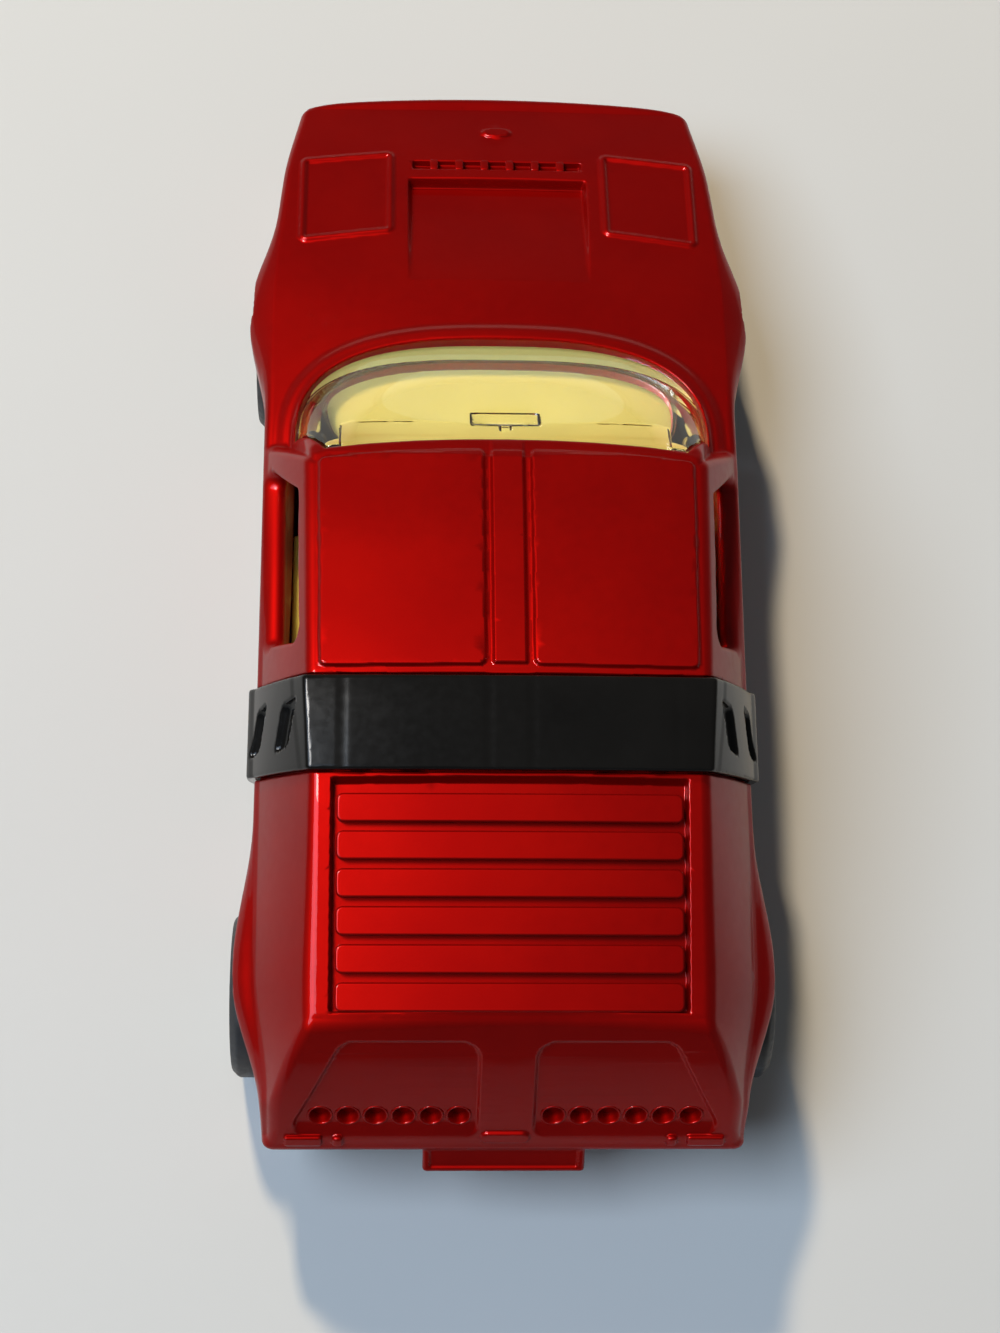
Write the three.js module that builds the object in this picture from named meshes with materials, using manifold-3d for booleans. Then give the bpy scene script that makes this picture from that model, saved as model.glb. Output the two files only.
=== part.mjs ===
// Die-cast toy coupe of the three-inch class: cast shell, base, clear screen, cabin, roof band, sprung axles and wheels.
// Millimetres. +Y runs to the nose, +X to the car's right, +Z up. The origin is on the ground under the middle of the car.
import * as THREE from 'three';
import { mergeVertices } from 'three/addons/utils/BufferGeometryUtils.js';
import Module from 'manifold-3d';

const wasm = await Module();
wasm.setup();
const { lerp, degToRad, clamp } = THREE.MathUtils;

// Lengths along the car, from the nose to the plate under the tail
const BONNET_LENGTH = 21.8;
const SCREEN_RUN = 11.1;
const ROOF_LENGTH = 14.9;
const BAND_ZONE = 7.3;
const DECK_LENGTH = 13.3;
const TAIL_RUN = 6.3;
const PLATE_REACH = 1.3;
const FRONT_OVERHANG = 19;
const REAR_OVERHANG = 11.5;

// Heights above the ground
const SILL_Z = 3.6;
const NOSE_Z = 8.6;
const LAMP_EDGE_Z = 10.2;
const FRONT_WING_Z = 12.15;
const COWL_Z = 13.7;
const BELT_Z = 13.2;
const REAR_WING_Z = 12.4;
const TAIL_SHOULDER_Z = 11.2;
const LIP_Z = 8.8;
const ROOF_FRONT_Z = 20.1;
const ROOF_REAR_Z = 21.2;
const DECK_FRONT_Z = 20.3;
const DECK_REAR_Z = 17.4;

// Half widths of the body's shoulder line, roof and deck
const NOSE_HALF = 13.75;
const LAMP_HALF = 14.9;
const DOOR_HALF = 15.6;
const REAR_WING_HALF = 15.7;
const TAIL_HALF = 14.8;
const ROOF_FRONT_HALF = 12.3;
const ROOF_REAR_HALF = 11.95;
const DECK_HALF = 11.6;

// Shape of the lower body
const NOSE_BOW = 0.6;
const NOSE_CORNER = 0.5;
const NOSE_UNDERCUT = 3;
const NOSE_BLEND = 11;
const TAIL_CORNER = 0.8;
const FULL_RISE = 0.9;
const TAIL_UNDERCUT = 1;
const SILL_TUCK = 0.8;
const EDGE_ROUND = 0.6;
const BONNET_CROWN = 0.35;
const LAMP_LINE = 7.7;
const TAIL_SHOULDER = 2.6;
const FRONT_FLARE = 1.3;
const FRONT_FLARE_REACH = 8.5;
const REAR_FLARE = 1.05;
const REAR_FLARE_REACH = 10;

// Shape of the greenhouse
const SCREEN_HALF = 13.85;
const SCREEN_DEPTH = 8.2;
const SCREEN_POWER = 2.8;
const SCREEN_BULGE = 0.5;
const ROOF_BOW = 0.75;
const PILLAR_TOP = 0.8;
const BELT_STEP = 0.2;
const SIDE_BULGE = 0.25;
const TAIL_BULGE = 0.45;
const ROOF_CROWN = 0.45;
const RAIL_ROUND = 0.5;
const SKIRT_DEPTH = 4;
const SKIRT_INSET = 0.9;

// Casting walls and the gap between pieces that seat on each other
const ROOF_WALL = 1.3;
const BODY_WALL = 1.4;
const SEAT_GAP = 0.2;

// Screen aperture and clear insert
const APERTURE_RIM = 0.35;
const GLASS_SINK = 0.25;
const GLASS_WALL = 1;
const ROOF_SHEET = 0.6;
const ROOF_SHEET_DROP = 0.55;
const ROOF_SHEET_HALF = 10.4;
const ROOF_SHEET_LENGTH = 12;
const HEADER_OVERLAP = 1.6;
const MIRROR_WIDTH = 4.4;
const MIRROR_HEIGHT = 1.1;
const MIRROR_SETBACK = 2.9;
const MIRROR_DEPTH = 0.6;
const SCREEN_BEAD = 1;
const BEAD_HEIGHT = 0.3;

// Side windows, measured from the windscreen pillar's foot and the roof's rear edge
const WINDOW_SILL = 0.15;
const WINDOW_HEADER = 1.75;
const WINDOW_FRONT_FOOT = 1.5;
const WINDOW_FRONT_HEAD = 5.35;
const WINDOW_REAR_HEAD = 2.1;
const WINDOW_REAR_FOOT = 3.9;
const WINDOW_CORNER = 0.7;

// Bonnet features
const LAMP_COVER_INNER = 7.45;
const LAMP_COVER_OUTER = 13.5;
const LAMP_COVER_FRONT = 5.6;
const LAMP_COVER_LENGTH = 7.1;
const LAMP_COVER_SKEW = 0.7;
const LAMP_BEAD = 0.55;
const LAMP_BEAD_HEIGHT = 0.2;
const VENT_COUNT = 7;
const VENT_PITCH = 1.77;
const VENT_LENGTH = 1.2;
const VENT_WIDTH = 0.6;
const VENT_DEPTH = 0.3;
const VENT_SETBACK = 6.6;
const BADGE_SETBACK = 3.4;
const BADGE_LENGTH = 2;
const TAIL_BADGE_LENGTH = 3.2;
const BADGE_WIDTH = 0.9;
const BADGE_HEIGHT = 0.25;
const SCOOP_HALF = 6.1;
const SCOOP_SETBACK = 7.8;
const SCOOP_LENGTH = 9.3;
const SCOOP_WALL_RUN = 0.5;
const SCOOP_DEPTH = 0.85;

// Roof panels either side of the centre bar
const ROOF_BAR_HALF = 1.45;
const ROOF_PANEL_HALF = 11.3;
const ROOF_PANEL_FRONT = 1.4;
const ROOF_PANEL_REAR = 0.3;
const ROOF_PANEL_CORNER = 0.4;
const ROOF_PANEL_HEIGHT = 0.22;

// Roof band
const BAND_LENGTH = 5.9;
const BAND_LEAD = 0.65;
const BAND_RAKE = 13;
const BAND_PROUD = 0.5;
const BAND_CHANNEL = 0.45;
const BAND_SLOT_HEIGHT = 1.3;
const BAND_SLOT_LENGTH = 2.5;
const BAND_SLOT_DEPTH = 0.45;
const BAND_SLOT_DROPS = [2.6, 7];
const BAND_SLOT_SLANT = 30;
const HOOK_LENGTH = 4;
const HOOK_THICKNESS = 0.6;
const HOOK_REACH = 1.5;

// Louvred deck
const LOUVRE_HALF = 10.5;
const LOUVRE_COUNT = 6;
const LOUVRE_MARGIN = 0.15;
const LOUVRE_GROOVE = 0.4;
const LOUVRE_DEPTH = 0.5;

// Tail
const TAIL_PANEL_INNER = 1.7;
const TAIL_PANEL_TOP_OUTER = 9.9;
const TAIL_PANEL_BOTTOM_OUTER = 12.4;
const TAIL_PANEL_TOP = 1.1;
const TAIL_PANEL_LENGTH = 4;
const TAIL_PANEL_CORNER = 0.9;
const TAIL_PANEL_DEPTH = 0.3;
const PIT_COUNT = 6;
const PIT_PITCH = 1.675;
const PIT_FIRST = 2.87;
const PIT_RADIUS = 0.65;
const PIT_DEPTH = 0.7;
const PIT_LINE = 4.7;
const TAIL_BADGE_LINE = 5.7;
const PLATE_HALF = 5;
const PLATE_HEIGHT = 1.9;
const PLATE_ROOT = 1;
const PLATE_DROP = 0.3;
const PLATE_THICKNESS = 0.8;
const PLATE_CORNER = 0.5;
const REFLECTOR_LENGTH = 2.3;
const REFLECTOR_HEIGHT = 0.8;
const REFLECTOR_PROUD = 0.25;
const REFLECTOR_X = 12.1;
const REFLECTOR_DROP = 0.75;

// Wheels, axles and their springs
const WHEEL_RADIUS = 5.2;
const WHEEL_WIDTH = 3.6;
const FRONT_TRACK = 33;
const REAR_TRACK = 34;
const RIM_RADIUS = 3.5;
const DISH_DEPTH = 1;
const DISC_THICKNESS = 0.9;
const HUB_RADIUS = 1.2;
const HUB_SINK = 0.6;
const TREAD_ROUND = 0.45;
const SPOKE_COUNT = 5;
const SPOKE_WIDTH = 0.9;
const SPOKE_SINK = 0.4;
const SPOKE_ROOT = 0.1;
const AXLE_RADIUS = 0.5;
const AXLE_HEAD_RADIUS = 0.9;
const AXLE_HEAD = 0.4;
const AXLE_RUNNING_GAP = 0.08;
const AXLE_TRAVEL = 0.5;
const WELL_CLEARANCE = 0.3;
const WELL_INNER = 12.2;
const LEAF_THICKNESS = 0.35;
const LEAF_WIDTH = 5;
const LEAF_OVERHANG = 1.4;
const LEAF_DROP = 1.2;
const LEAF_TIP_LIFT = 0.3;

// Base plate and rivet posts
const BASE_WALL = 1;
const BASE_INSET = 0.3;
const CARRIER_X = 9.6;
const CARRIER_THICKNESS = 1.6;
const CARRIER_LENGTH = 5;
const SLOT_GAP = 0.1;
const POST_RADIUS = 1.9;
const POST_PIN_RADIUS = 1.2;
const POST_HOLE_GAP = 0.2;
const POST_BOSS_RADIUS = 2.8;
const RIVET_RADIUS = 2;
const RIVET_HEIGHT = 0.6;
const FRONT_POST_LEAD = 8.5;
const REAR_POST_LAG = 5;
const FLOOR_PAN_INNER = 1.6;
const FLOOR_PAN_OUTER = 11.6;
const FLOOR_PAN_MARGIN = 7.5;
const FLOOR_PAN_SPLIT = 1.4;
const FLOOR_PAN_CORNER = 1.2;
const FLOOR_PAN_DEPTH = 0.4;

// Cabin moulding
const CABIN_WALL = 0.9;
const CABIN_GAP = 0.3;
const CABIN_TAIL = 1.8;
const CABIN_WAIST_Z = 11.4;
const DASH_Z = 11.8;
const DASH_LENGTH = 7.5;
const SEAT_WIDTH = 8.4;
const SEAT_X = 6.1;
const SEAT_LENGTH = 8.5;
const SEAT_HEIGHT = 3.4;
const SEAT_BACK_THICKNESS = 2.2;
const SEAT_BACK_HEIGHT = 10;
const SEAT_BACK_LEAN = 18;
const SEAT_ROUND = 0.8;
const SEAT_SETBACK = 4.4;
const STEERING_RADIUS = 2.3;
const STEERING_TUBE = 0.4;
const STEERING_LEAN = 35;

// How finely the lofts are divided
const FINE = { lowerRows: 20, upperRows: 13, columns: 10 };
const COARSE = { lowerRows: 13, upperRows: 8, columns: 6 };
const WHEEL_STEPS = 18;
const POST_STEPS = 10;
const CORNER_STEPS = 3;
const SCREEN_STEPS = 16;
const FAR = 60;

// Stations along the car
const carLength = BONNET_LENGTH + SCREEN_RUN + ROOF_LENGTH + BAND_ZONE + DECK_LENGTH + TAIL_RUN + PLATE_REACH;
const noseY = carLength / 2;
const cowlY = noseY - BONNET_LENGTH;
const roofFrontY = cowlY - SCREEN_RUN;
const roofRearY = roofFrontY - ROOF_LENGTH;
const deckFrontY = roofRearY - BAND_ZONE;
const deckRearY = deckFrontY - DECK_LENGTH;
const tailY = deckRearY - TAIL_RUN;
const pillarY = cowlY - SCREEN_DEPTH;
const frontAxleY = noseY - FRONT_OVERHANG;
const rearAxleY = REAR_OVERHANG - carLength / 2;
const noseCornerY = noseY - NOSE_BOW - NOSE_CORNER;
const tailCornerY = tailY + TAIL_CORNER;
const bandTopY = roofRearY - BAND_LEAD - BAND_LENGTH / 2;
const baseTopZ = SILL_Z - SEAT_GAP;
const baseBottomZ = baseTopZ - BASE_WALL;

// Curves and meshes

// A smooth curve through a few stations, read as a value against position. It never overshoots its stations.
function guide(stations) {
  const knots = stations.toSorted((a, b) => a[0] - b[0]);
  const last = knots.length - 1;
  const slope = (i) => (knots[i + 1][1] - knots[i][1]) / (knots[i + 1][0] - knots[i][0]);
  const tangents = knots.map((knot, i) => {
    if (i === 0) return slope(0);
    if (i === last) return slope(last - 1);
    const before = slope(i - 1);
    const after = slope(i);
    return before * after <= 0 ? 0 : (2 * before * after) / (before + after);
  });
  return (position) => {
    const at = clamp(position, knots[0][0], knots[last][0]);
    const i = clamp(knots.findIndex((knot) => knot[0] >= at) - 1, 0, last - 1);
    const span = knots[i + 1][0] - knots[i][0];
    const t = (at - knots[i][0]) / span;
    const blend = t * t * (3 - 2 * t);
    const lead = t * (1 - t) * (1 - t) * span * tangents[i];
    const trail = t * t * (1 - t) * span * tangents[i + 1];
    return lerp(knots[i][1], knots[i + 1][1], blend) + lead - trail;
  };
}

// A closed body made of stacked sheets. Each sheet is a grid of rows, front to back, and columns, left to right.
// Only the first and last sheets have insides. The others give the walls their shape.
function sheetBody(sheets, rows, columns, at) {
  const corners = [];
  const quad = (a, b, c, d) => corners.push(a, b, c, a, c, d);
  const point = (sheet, [row, column]) => at(sheet, row, column);
  const walk = [];
  for (let column = 0; column < columns; column += 1) walk.push([0, column]);
  for (let row = 0; row < rows; row += 1) walk.push([row, columns]);
  for (let column = columns; column > 0; column -= 1) walk.push([rows, column]);
  for (let row = rows; row > 0; row -= 1) walk.push([row, 0]);
  for (let sheet = 0; sheet < sheets; sheet += 1) {
    walk.forEach((here, i) => {
      const next = walk[(i + 1) % walk.length];
      quad(point(sheet, next), point(sheet, here), point(sheet + 1, here), point(sheet + 1, next));
    });
  }
  for (let row = 0; row < rows; row += 1) {
    for (let column = 0; column < columns; column += 1) {
      const cell = [[row, column], [row + 1, column], [row + 1, column + 1], [row, column + 1]];
      quad(...cell.map((place) => point(sheets, place)));
      quad(...cell.map((place) => point(0, place)).reverse());
    }
  }
  return new THREE.BufferGeometry().setFromPoints(corners);
}

// Positions only, with shared corners merged and empty triangles left out
function weld(geometry) {
  const bare = geometry.clone();
  bare.deleteAttribute('normal');
  bare.deleteAttribute('uv');
  const merged = mergeVertices(bare, 1e-4);
  const index = merged.getIndex().array;
  const kept = [];
  for (let i = 0; i < index.length; i += 3) {
    const [a, b, c] = index.slice(i, i + 3);
    if (a !== b && b !== c && c !== a) kept.push(a, b, c);
  }
  merged.setIndex(kept);
  return merged;
}

function solid(geometry) {
  const merged = weld(geometry);
  const vertProperties = Float32Array.from(merged.getAttribute('position').array);
  const triVerts = Uint32Array.from(merged.getIndex().array);
  return new wasm.Manifold(new wasm.Mesh({ numProp: 3, vertProperties, triVerts }));
}

function geometryOf(body) {
  const mesh = body.getMesh();
  const geometry = new THREE.BufferGeometry();
  geometry.setAttribute('position', new THREE.BufferAttribute(Float32Array.from(mesh.vertProperties), 3));
  geometry.setIndex(Array.from(mesh.triVerts));
  return geometry;
}

// Every face of a closed mesh moved by one distance, outwards where it is positive.
// Each corner goes where the planes of its faces meet once they have moved.
function offsetSkin(geometry, distance) {
  const merged = weld(geometry);
  const position = merged.getAttribute('position');
  const index = merged.getIndex().array;
  const places = Array.from({ length: position.count }, (_, i) => new THREE.Vector3().fromBufferAttribute(position, i));
  const pulls = places.map(() => ({ square: new Array(9).fill(0), sum: new THREE.Vector3(), weight: 0 }));
  for (let i = 0; i < index.length; i += 3) {
    const ids = [index[i], index[i + 1], index[i + 2]];
    const normal = new THREE.Triangle(...ids.map((id) => places[id])).getNormal(new THREE.Vector3());
    ids.forEach((id, corner) => {
      const one = places[ids[(corner + 1) % 3]].clone().sub(places[id]);
      const two = places[ids[(corner + 2) % 3]].clone().sub(places[id]);
      const angle = one.angleTo(two);
      const n = normal.toArray();
      const pull = pulls[id];
      n.forEach((a, r) => n.forEach((b, c) => { pull.square[3 * r + c] += angle * a * b; }));
      pull.sum.addScaledVector(normal, angle);
      pull.weight += angle;
    });
  }
  const softness = 2e-3;
  pulls.forEach(({ square, sum, weight }, i) => {
    const matrix = new THREE.Matrix3().fromArray(square);
    [0, 4, 8].forEach((diagonal) => { matrix.elements[diagonal] += softness * weight; });
    const shift = sum.applyMatrix3(matrix.invert()).multiplyScalar(distance);
    position.setXYZ(i, ...places[i].clone().add(shift).toArray());
  });
  return merged;
}

// An outline with its corners rounded
function roundedShape(points, radius) {
  const corners = points.map(([x, y]) => new THREE.Vector2(x, y));
  const shape = new THREE.Shape();
  corners.forEach((corner, i) => {
    const before = corners[(i + corners.length - 1) % corners.length];
    const after = corners[(i + 1) % corners.length];
    const reach = (other) => Math.min(radius, corner.distanceTo(other) / 2);
    const start = corner.clone().lerp(before, reach(before) / corner.distanceTo(before));
    const end = corner.clone().lerp(after, reach(after) / corner.distanceTo(after));
    if (i === 0) shape.moveTo(start.x, start.y);
    else shape.lineTo(start.x, start.y);
    shape.quadraticCurveTo(corner.x, corner.y, end.x, end.y);
  });
  shape.closePath();
  return shape;
}

function rectangle(xLow, xHigh, yLow, yHigh) {
  return new THREE.Shape([[xLow, yLow], [xHigh, yLow], [xHigh, yHigh], [xLow, yHigh]].map(([x, y]) => new THREE.Vector2(x, y)));
}

function ovalShape(x, y, length, width) {
  return new THREE.Shape().absellipse(x, y, length / 2, width / 2, 0, 2 * Math.PI);
}

// A plan outline raised from one height to another
function prism(shape, low, high) {
  const geometry = new THREE.ExtrudeGeometry(shape, { depth: high - low, bevelEnabled: false, curveSegments: CORNER_STEPS });
  return solid(geometry.translate(0, 0, low));
}

// A side outline, drawn as (y, z), spread from one x to another
function sidePrism(shape, low, high) {
  const geometry = new THREE.ExtrudeGeometry(shape, { depth: high - low, bevelEnabled: false, curveSegments: CORNER_STEPS });
  geometry.translate(0, 0, low).rotateY(Math.PI / 2).rotateX(Math.PI / 2);
  return solid(geometry);
}

function block(xLow, xHigh, yLow, yHigh, zLow, zHigh) {
  return prism(rectangle(xLow, xHigh, yLow, yHigh), zLow, zHigh);
}

function upright(radius, x, y, low, high) {
  const geometry = new THREE.CylinderGeometry(radius, radius, high - low, POST_STEPS).rotateX(Math.PI / 2);
  return solid(geometry.translate(x, y, (low + high) / 2));
}

function crossBar(radius, y, z, low, high) {
  const geometry = new THREE.CylinderGeometry(radius, radius, high - low, WHEEL_STEPS).rotateZ(Math.PI / 2);
  return solid(geometry.translate((low + high) / 2, y, z));
}

const join = (bodies) => bodies.reduce((all, body) => all.add(body));
const cut = (body, tools) => tools.reduce((left, tool) => left.subtract(tool), body);
const bothSides = (make) => [-1, 1].map(make);

// The body's guide curves, read along the car
const shoulderHalf = guide([
  [noseCornerY, NOSE_HALF], [noseY - LAMP_LINE, LAMP_HALF], [frontAxleY, DOOR_HALF], [pillarY, DOOR_HALF],
  [rearAxleY, REAR_WING_HALF], [tailY + TAIL_SHOULDER, TAIL_HALF], [tailCornerY, TAIL_HALF],
]);
const shoulderZ = guide([
  [noseCornerY, NOSE_Z - BONNET_CROWN / 2], [noseY - LAMP_LINE, LAMP_EDGE_Z], [frontAxleY, FRONT_WING_Z],
  [pillarY, BELT_Z], [bandTopY, REAR_WING_Z], [rearAxleY, REAR_WING_Z],
  [tailY + TAIL_SHOULDER, TAIL_SHOULDER_Z], [tailCornerY, LIP_Z],
]);
const crownHeight = guide([
  [noseCornerY, BONNET_CROWN / 2], [noseY - LAMP_LINE, BONNET_CROWN], [cowlY, COWL_Z - FRONT_WING_Z - BONNET_CROWN],
  [roofFrontY, 0], [tailCornerY, 0],
]);
const roofZ = guide([
  [roofFrontY, ROOF_FRONT_Z], [(roofFrontY + roofRearY) / 2, lerp(ROOF_FRONT_Z, ROOF_REAR_Z, 0.7)],
  [roofRearY, ROOF_REAR_Z], [deckFrontY, DECK_FRONT_Z], [deckRearY, DECK_REAR_Z],
]);
const roofHalf = guide([
  [roofFrontY - ROOF_BOW, ROOF_FRONT_HALF], [roofRearY, ROOF_REAR_HALF], [deckFrontY, DECK_HALF], [deckRearY, DECK_HALF],
]);
const bandLean = Math.tan(degToRad(BAND_RAKE)) * (ROOF_REAR_Z - BELT_Z);
const footOfRoof = guide([
  [roofFrontY - PILLAR_TOP, pillarY], [bandTopY + BAND_ZONE, bandTopY + BAND_ZONE + bandLean],
  [bandTopY - BAND_ZONE, bandTopY - BAND_ZONE + bandLean], [deckRearY, tailCornerY],
]);

// How the body side runs from the sill, 0, to the shoulder, 1
const sideTuck = guide([[0, -SILL_TUCK], [0.4, -SILL_TUCK / 8], [0.7, SILL_TUCK / 8], [1, 0]]);
const sideHip = guide([[0, 0.3], [FULL_RISE / 2, 0.75], [FULL_RISE, 1], [1, 0]]);
const swell = (distance) => (Math.abs(distance) < 1 ? (1 + Math.cos(Math.PI * distance)) / 2 : 0);
const flare = (y) => FRONT_FLARE * swell((y - frontAxleY) / FRONT_FLARE_REACH)
  + REAR_FLARE * swell((y - rearAxleY) / REAR_FLARE_REACH);

// Lower body: plan sheets from the sill to the shoulder, then the crowned top
const lowerSheets = [
  { rise: 0, round: 0 }, { rise: 0.4, round: 0 }, { rise: 0.72, round: 0 },
  { rise: FULL_RISE, round: 0 }, { rise: 0.96, round: 0.25 }, { rise: 1, round: 1 },
];
// Columns bunch towards the sides, where the corners turn
const acrossAt = (column, columns) => Math.sin(Math.PI * (column / columns - 0.5));

function lowerPoint({ rise, round }, row, rows, across) {
  const sideY = lerp(noseCornerY, tailCornerY, row / rows);
  const half = shoulderHalf(sideY) + sideTuck(rise) + flare(sideY) * sideHip(rise) - EDGE_ROUND * round;
  const noseNear = clamp(1 - (noseCornerY - sideY) / NOSE_BLEND, 0, 1);
  const tailNear = clamp(1 - (sideY - tailCornerY) / NOSE_BLEND, 0, 1);
  const bow = NOSE_BOW * (1 - across ** 2) * noseNear;
  const corner = 1 - across ** 12;
  const noseCorner = row === 0 ? NOSE_CORNER * corner : 0;
  const tailCorner = row === rows ? TAIL_CORNER * corner : 0;
  const below = Math.max(0, 1 - rise / FULL_RISE) ** 1.4;
  const undercut = below * (NOSE_UNDERCUT * noseNear ** 2 - TAIL_UNDERCUT * tailNear ** 2);
  const z = lerp(SILL_Z, shoulderZ(sideY), rise);
  const crown = crownHeight(sideY) * (1 - across ** 2);
  const noseRound = EDGE_ROUND * round * ((row === 0 ? 1 : 0) - (row === rows ? 1 : 0));
  return new THREE.Vector3(half * across, sideY + bow + noseCorner - tailCorner - undercut - noseRound, z + crown * rise);
}

function lowerBody(bottomZ, { lowerRows, columns }) {
  return sheetBody(lowerSheets.length - 1, lowerRows, columns, (sheet, row, column) => {
    const point = lowerPoint(lowerSheets[sheet], row, lowerRows, acrossAt(column, columns));
    if (sheet === 0) point.z = bottomZ;
    return point;
  });
}

// Greenhouse: a skirt inside the lower body, the foot line, the sloping walls and the crowned roof and deck
const upperSheets = [
  { rise: 0, skirt: 1, round: 0 }, { rise: 0, skirt: 0, round: 0 }, { rise: 0.35, skirt: 0, round: 0 },
  { rise: 0.7, skirt: 0, round: 0 }, { rise: 0.95, skirt: 0, round: 0.2 }, { rise: 1, skirt: 0, round: 1 },
];
const spread = (value) => Math.sign(value) * Math.abs(value) ** (2 / SCREEN_POWER);
// The windscreen's foot line in plan, grown by a margin
function screenFoot(across, margin) {
  const ahead = Math.sqrt(Math.max(0, 1 - across ** 2));
  return [(SCREEN_HALF + margin) * spread(across), pillarY + (SCREEN_DEPTH + margin) * spread(ahead)];
}

function upperFoot(row, rows, across) {
  if (row === 0) return new THREE.Vector3(...screenFoot(across, 0), COWL_Z - BONNET_CROWN);
  const topY = lerp(roofFrontY - PILLAR_TOP, deckRearY, (row - 1) / (rows - 1));
  const footY = footOfRoof(topY);
  const tailCorner = row === rows ? TAIL_CORNER * (1 - across ** 12) : 0;
  return new THREE.Vector3((shoulderHalf(footY) - BELT_STEP) * across, footY - tailCorner, shoulderZ(footY) - BELT_STEP);
}

function upperHead(row, rows, across) {
  const front = row === 0;
  const sideY = front ? roofFrontY - ROOF_BOW : lerp(roofFrontY - PILLAR_TOP, deckRearY, (row - 1) / (rows - 1));
  const y = sideY + (front ? ROOF_BOW * (1 - across ** 2) : 0);
  return new THREE.Vector3(roofHalf(sideY) * across, y, roofZ(y) - ROOF_CROWN * across ** 2);
}

function upperPoint({ rise, skirt, round }, row, rows, across) {
  const point = upperFoot(row, rows, across).lerp(upperHead(row, rows, across), rise);
  const belly = 4 * rise * (1 - rise);
  const end = row === 0 || row === rows;
  const forward = row === 0 ? 1 : -1;
  const inset = SKIRT_INSET * skirt + RAIL_ROUND * round;
  point.x += (SIDE_BULGE * belly - inset) * across ** (end ? 3 : 1);
  if (end) point.y += forward * ((row === 0 ? SCREEN_BULGE : TAIL_BULGE) * belly - inset * (1 - across ** 2));
  point.z -= SKIRT_DEPTH * skirt;
  return point;
}

function upperBody({ upperRows, columns }) {
  return sheetBody(upperSheets.length - 1, upperRows, columns,
    (sheet, row, column) => upperPoint(upperSheets[sheet], row, upperRows, acrossAt(column, columns)));
}

// The body's skin moved out or in by a distance. Moved skins reach below the sill, so that they cut right through it.
const belowSill = SILL_Z - BODY_WALL * 3;
const upperSkin = (distance, detail = FINE) => solid(offsetSkin(upperBody(detail), distance));
const lowerSkin = (distance, detail = FINE) => solid(offsetSkin(lowerBody(belowSill, detail), distance));
const wholeSkin = (distance, detail = FINE) => upperSkin(distance, detail).add(lowerSkin(distance, detail));
// What lies above a skin inside an outline cuts a recess of even depth, and what lies below it makes a raised pad
const recess = (outline, skin) => outline.subtract(skin);
const pad = (outline, skin) => outline.intersect(skin);

// The roof band's slab, leaning back towards the top, wider by a margin at each side
function bandSlab(margin) {
  const half = BAND_LENGTH / 2 + margin;
  const lean = Math.tan(degToRad(BAND_RAKE));
  const foot = bandTopY + lean * ROOF_REAR_Z;
  const head = bandTopY - lean * FAR;
  const low = new THREE.Vector2(foot, 0);
  const high = new THREE.Vector2(head, ROOF_REAR_Z + FAR);
  const shape = new THREE.Shape([
    new THREE.Vector2(low.x - half, low.y), new THREE.Vector2(low.x + half, low.y),
    new THREE.Vector2(high.x + half, high.y), new THREE.Vector2(high.x - half, high.y),
  ]);
  return sidePrism(shape, -FAR, FAR);
}
const bandFootY = bandTopY + Math.tan(degToRad(BAND_RAKE)) * (ROOF_REAR_Z - SILL_Z);

// Body shell

function screenFront(margin) {
  return Array.from({ length: SCREEN_STEPS + 1 }, (_, i) => screenFoot(acrossAt(i, SCREEN_STEPS), margin));
}

function screenOutline(rim) {
  const front = screenFront(-rim);
  const headHalf = ROOF_FRONT_HALF - rim - RAIL_ROUND;
  const headY = roofFrontY + rim + RAIL_ROUND;
  const rear = [1, 0.5, 0, -0.5, -1].map((across) => [headHalf * across, headY - ROOF_BOW * across ** 2]);
  return new THREE.Shape([...front, ...rear].map(([x, y]) => new THREE.Vector2(x, y)));
}

function beadOutline() {
  return new THREE.Shape(screenFront(SCREEN_BEAD).map(([x, y]) => new THREE.Vector2(x, y)));
}

function windowCut(side) {
  const sillZ = BELT_Z + WINDOW_SILL;
  const headZ = (y) => roofZ(y) - WINDOW_HEADER;
  const frontHead = pillarY - WINDOW_FRONT_HEAD;
  const rearHead = roofRearY + WINDOW_REAR_HEAD;
  const outline = [
    [pillarY - WINDOW_FRONT_FOOT, sillZ], [frontHead, headZ(frontHead)], [rearHead, headZ(rearHead)],
    [roofRearY + WINDOW_REAR_FOOT, sillZ],
  ];
  const inner = ROOF_SHEET_HALF + SEAT_GAP;
  const [low, high] = side > 0 ? [inner, FAR] : [-FAR, -inner];
  return sidePrism(roundedShape(outline, WINDOW_CORNER), low, high);
}

const axles = [
  { name: 'front', y: frontAxleY, track: FRONT_TRACK, postY: frontAxleY + FRONT_POST_LEAD },
  { name: 'rear', y: rearAxleY, track: REAR_TRACK, postY: rearAxleY - REAR_POST_LAG },
];
const wellRadius = WHEEL_RADIUS + AXLE_TRAVEL / 2 + WELL_CLEARANCE;
const wheelWells = axles.flatMap(({ y }) => bothSides((side) => {
  const [low, high] = side > 0 ? [WELL_INNER, FAR] : [-FAR, -WELL_INNER];
  return crossBar(wellRadius, y, WHEEL_RADIUS + AXLE_TRAVEL / 2, low, high);
}));

function lampCover(side) {
  const front = noseY - LAMP_COVER_FRONT;
  const outline = (grow) => [
    [side * (LAMP_COVER_INNER - grow), front + grow], [side * (LAMP_COVER_OUTER + grow), front - LAMP_COVER_SKEW + grow],
    [side * (LAMP_COVER_OUTER + grow), front - LAMP_COVER_SKEW - LAMP_COVER_LENGTH - grow],
    [side * (LAMP_COVER_INNER - grow), front - LAMP_COVER_LENGTH - grow],
  ];
  const solidOf = (grow) => prism(roundedShape(outline(grow), LAMP_BEAD / 2), SILL_Z, FAR);
  return solidOf(LAMP_BEAD / 2).subtract(solidOf(-LAMP_BEAD / 2));
}

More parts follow.
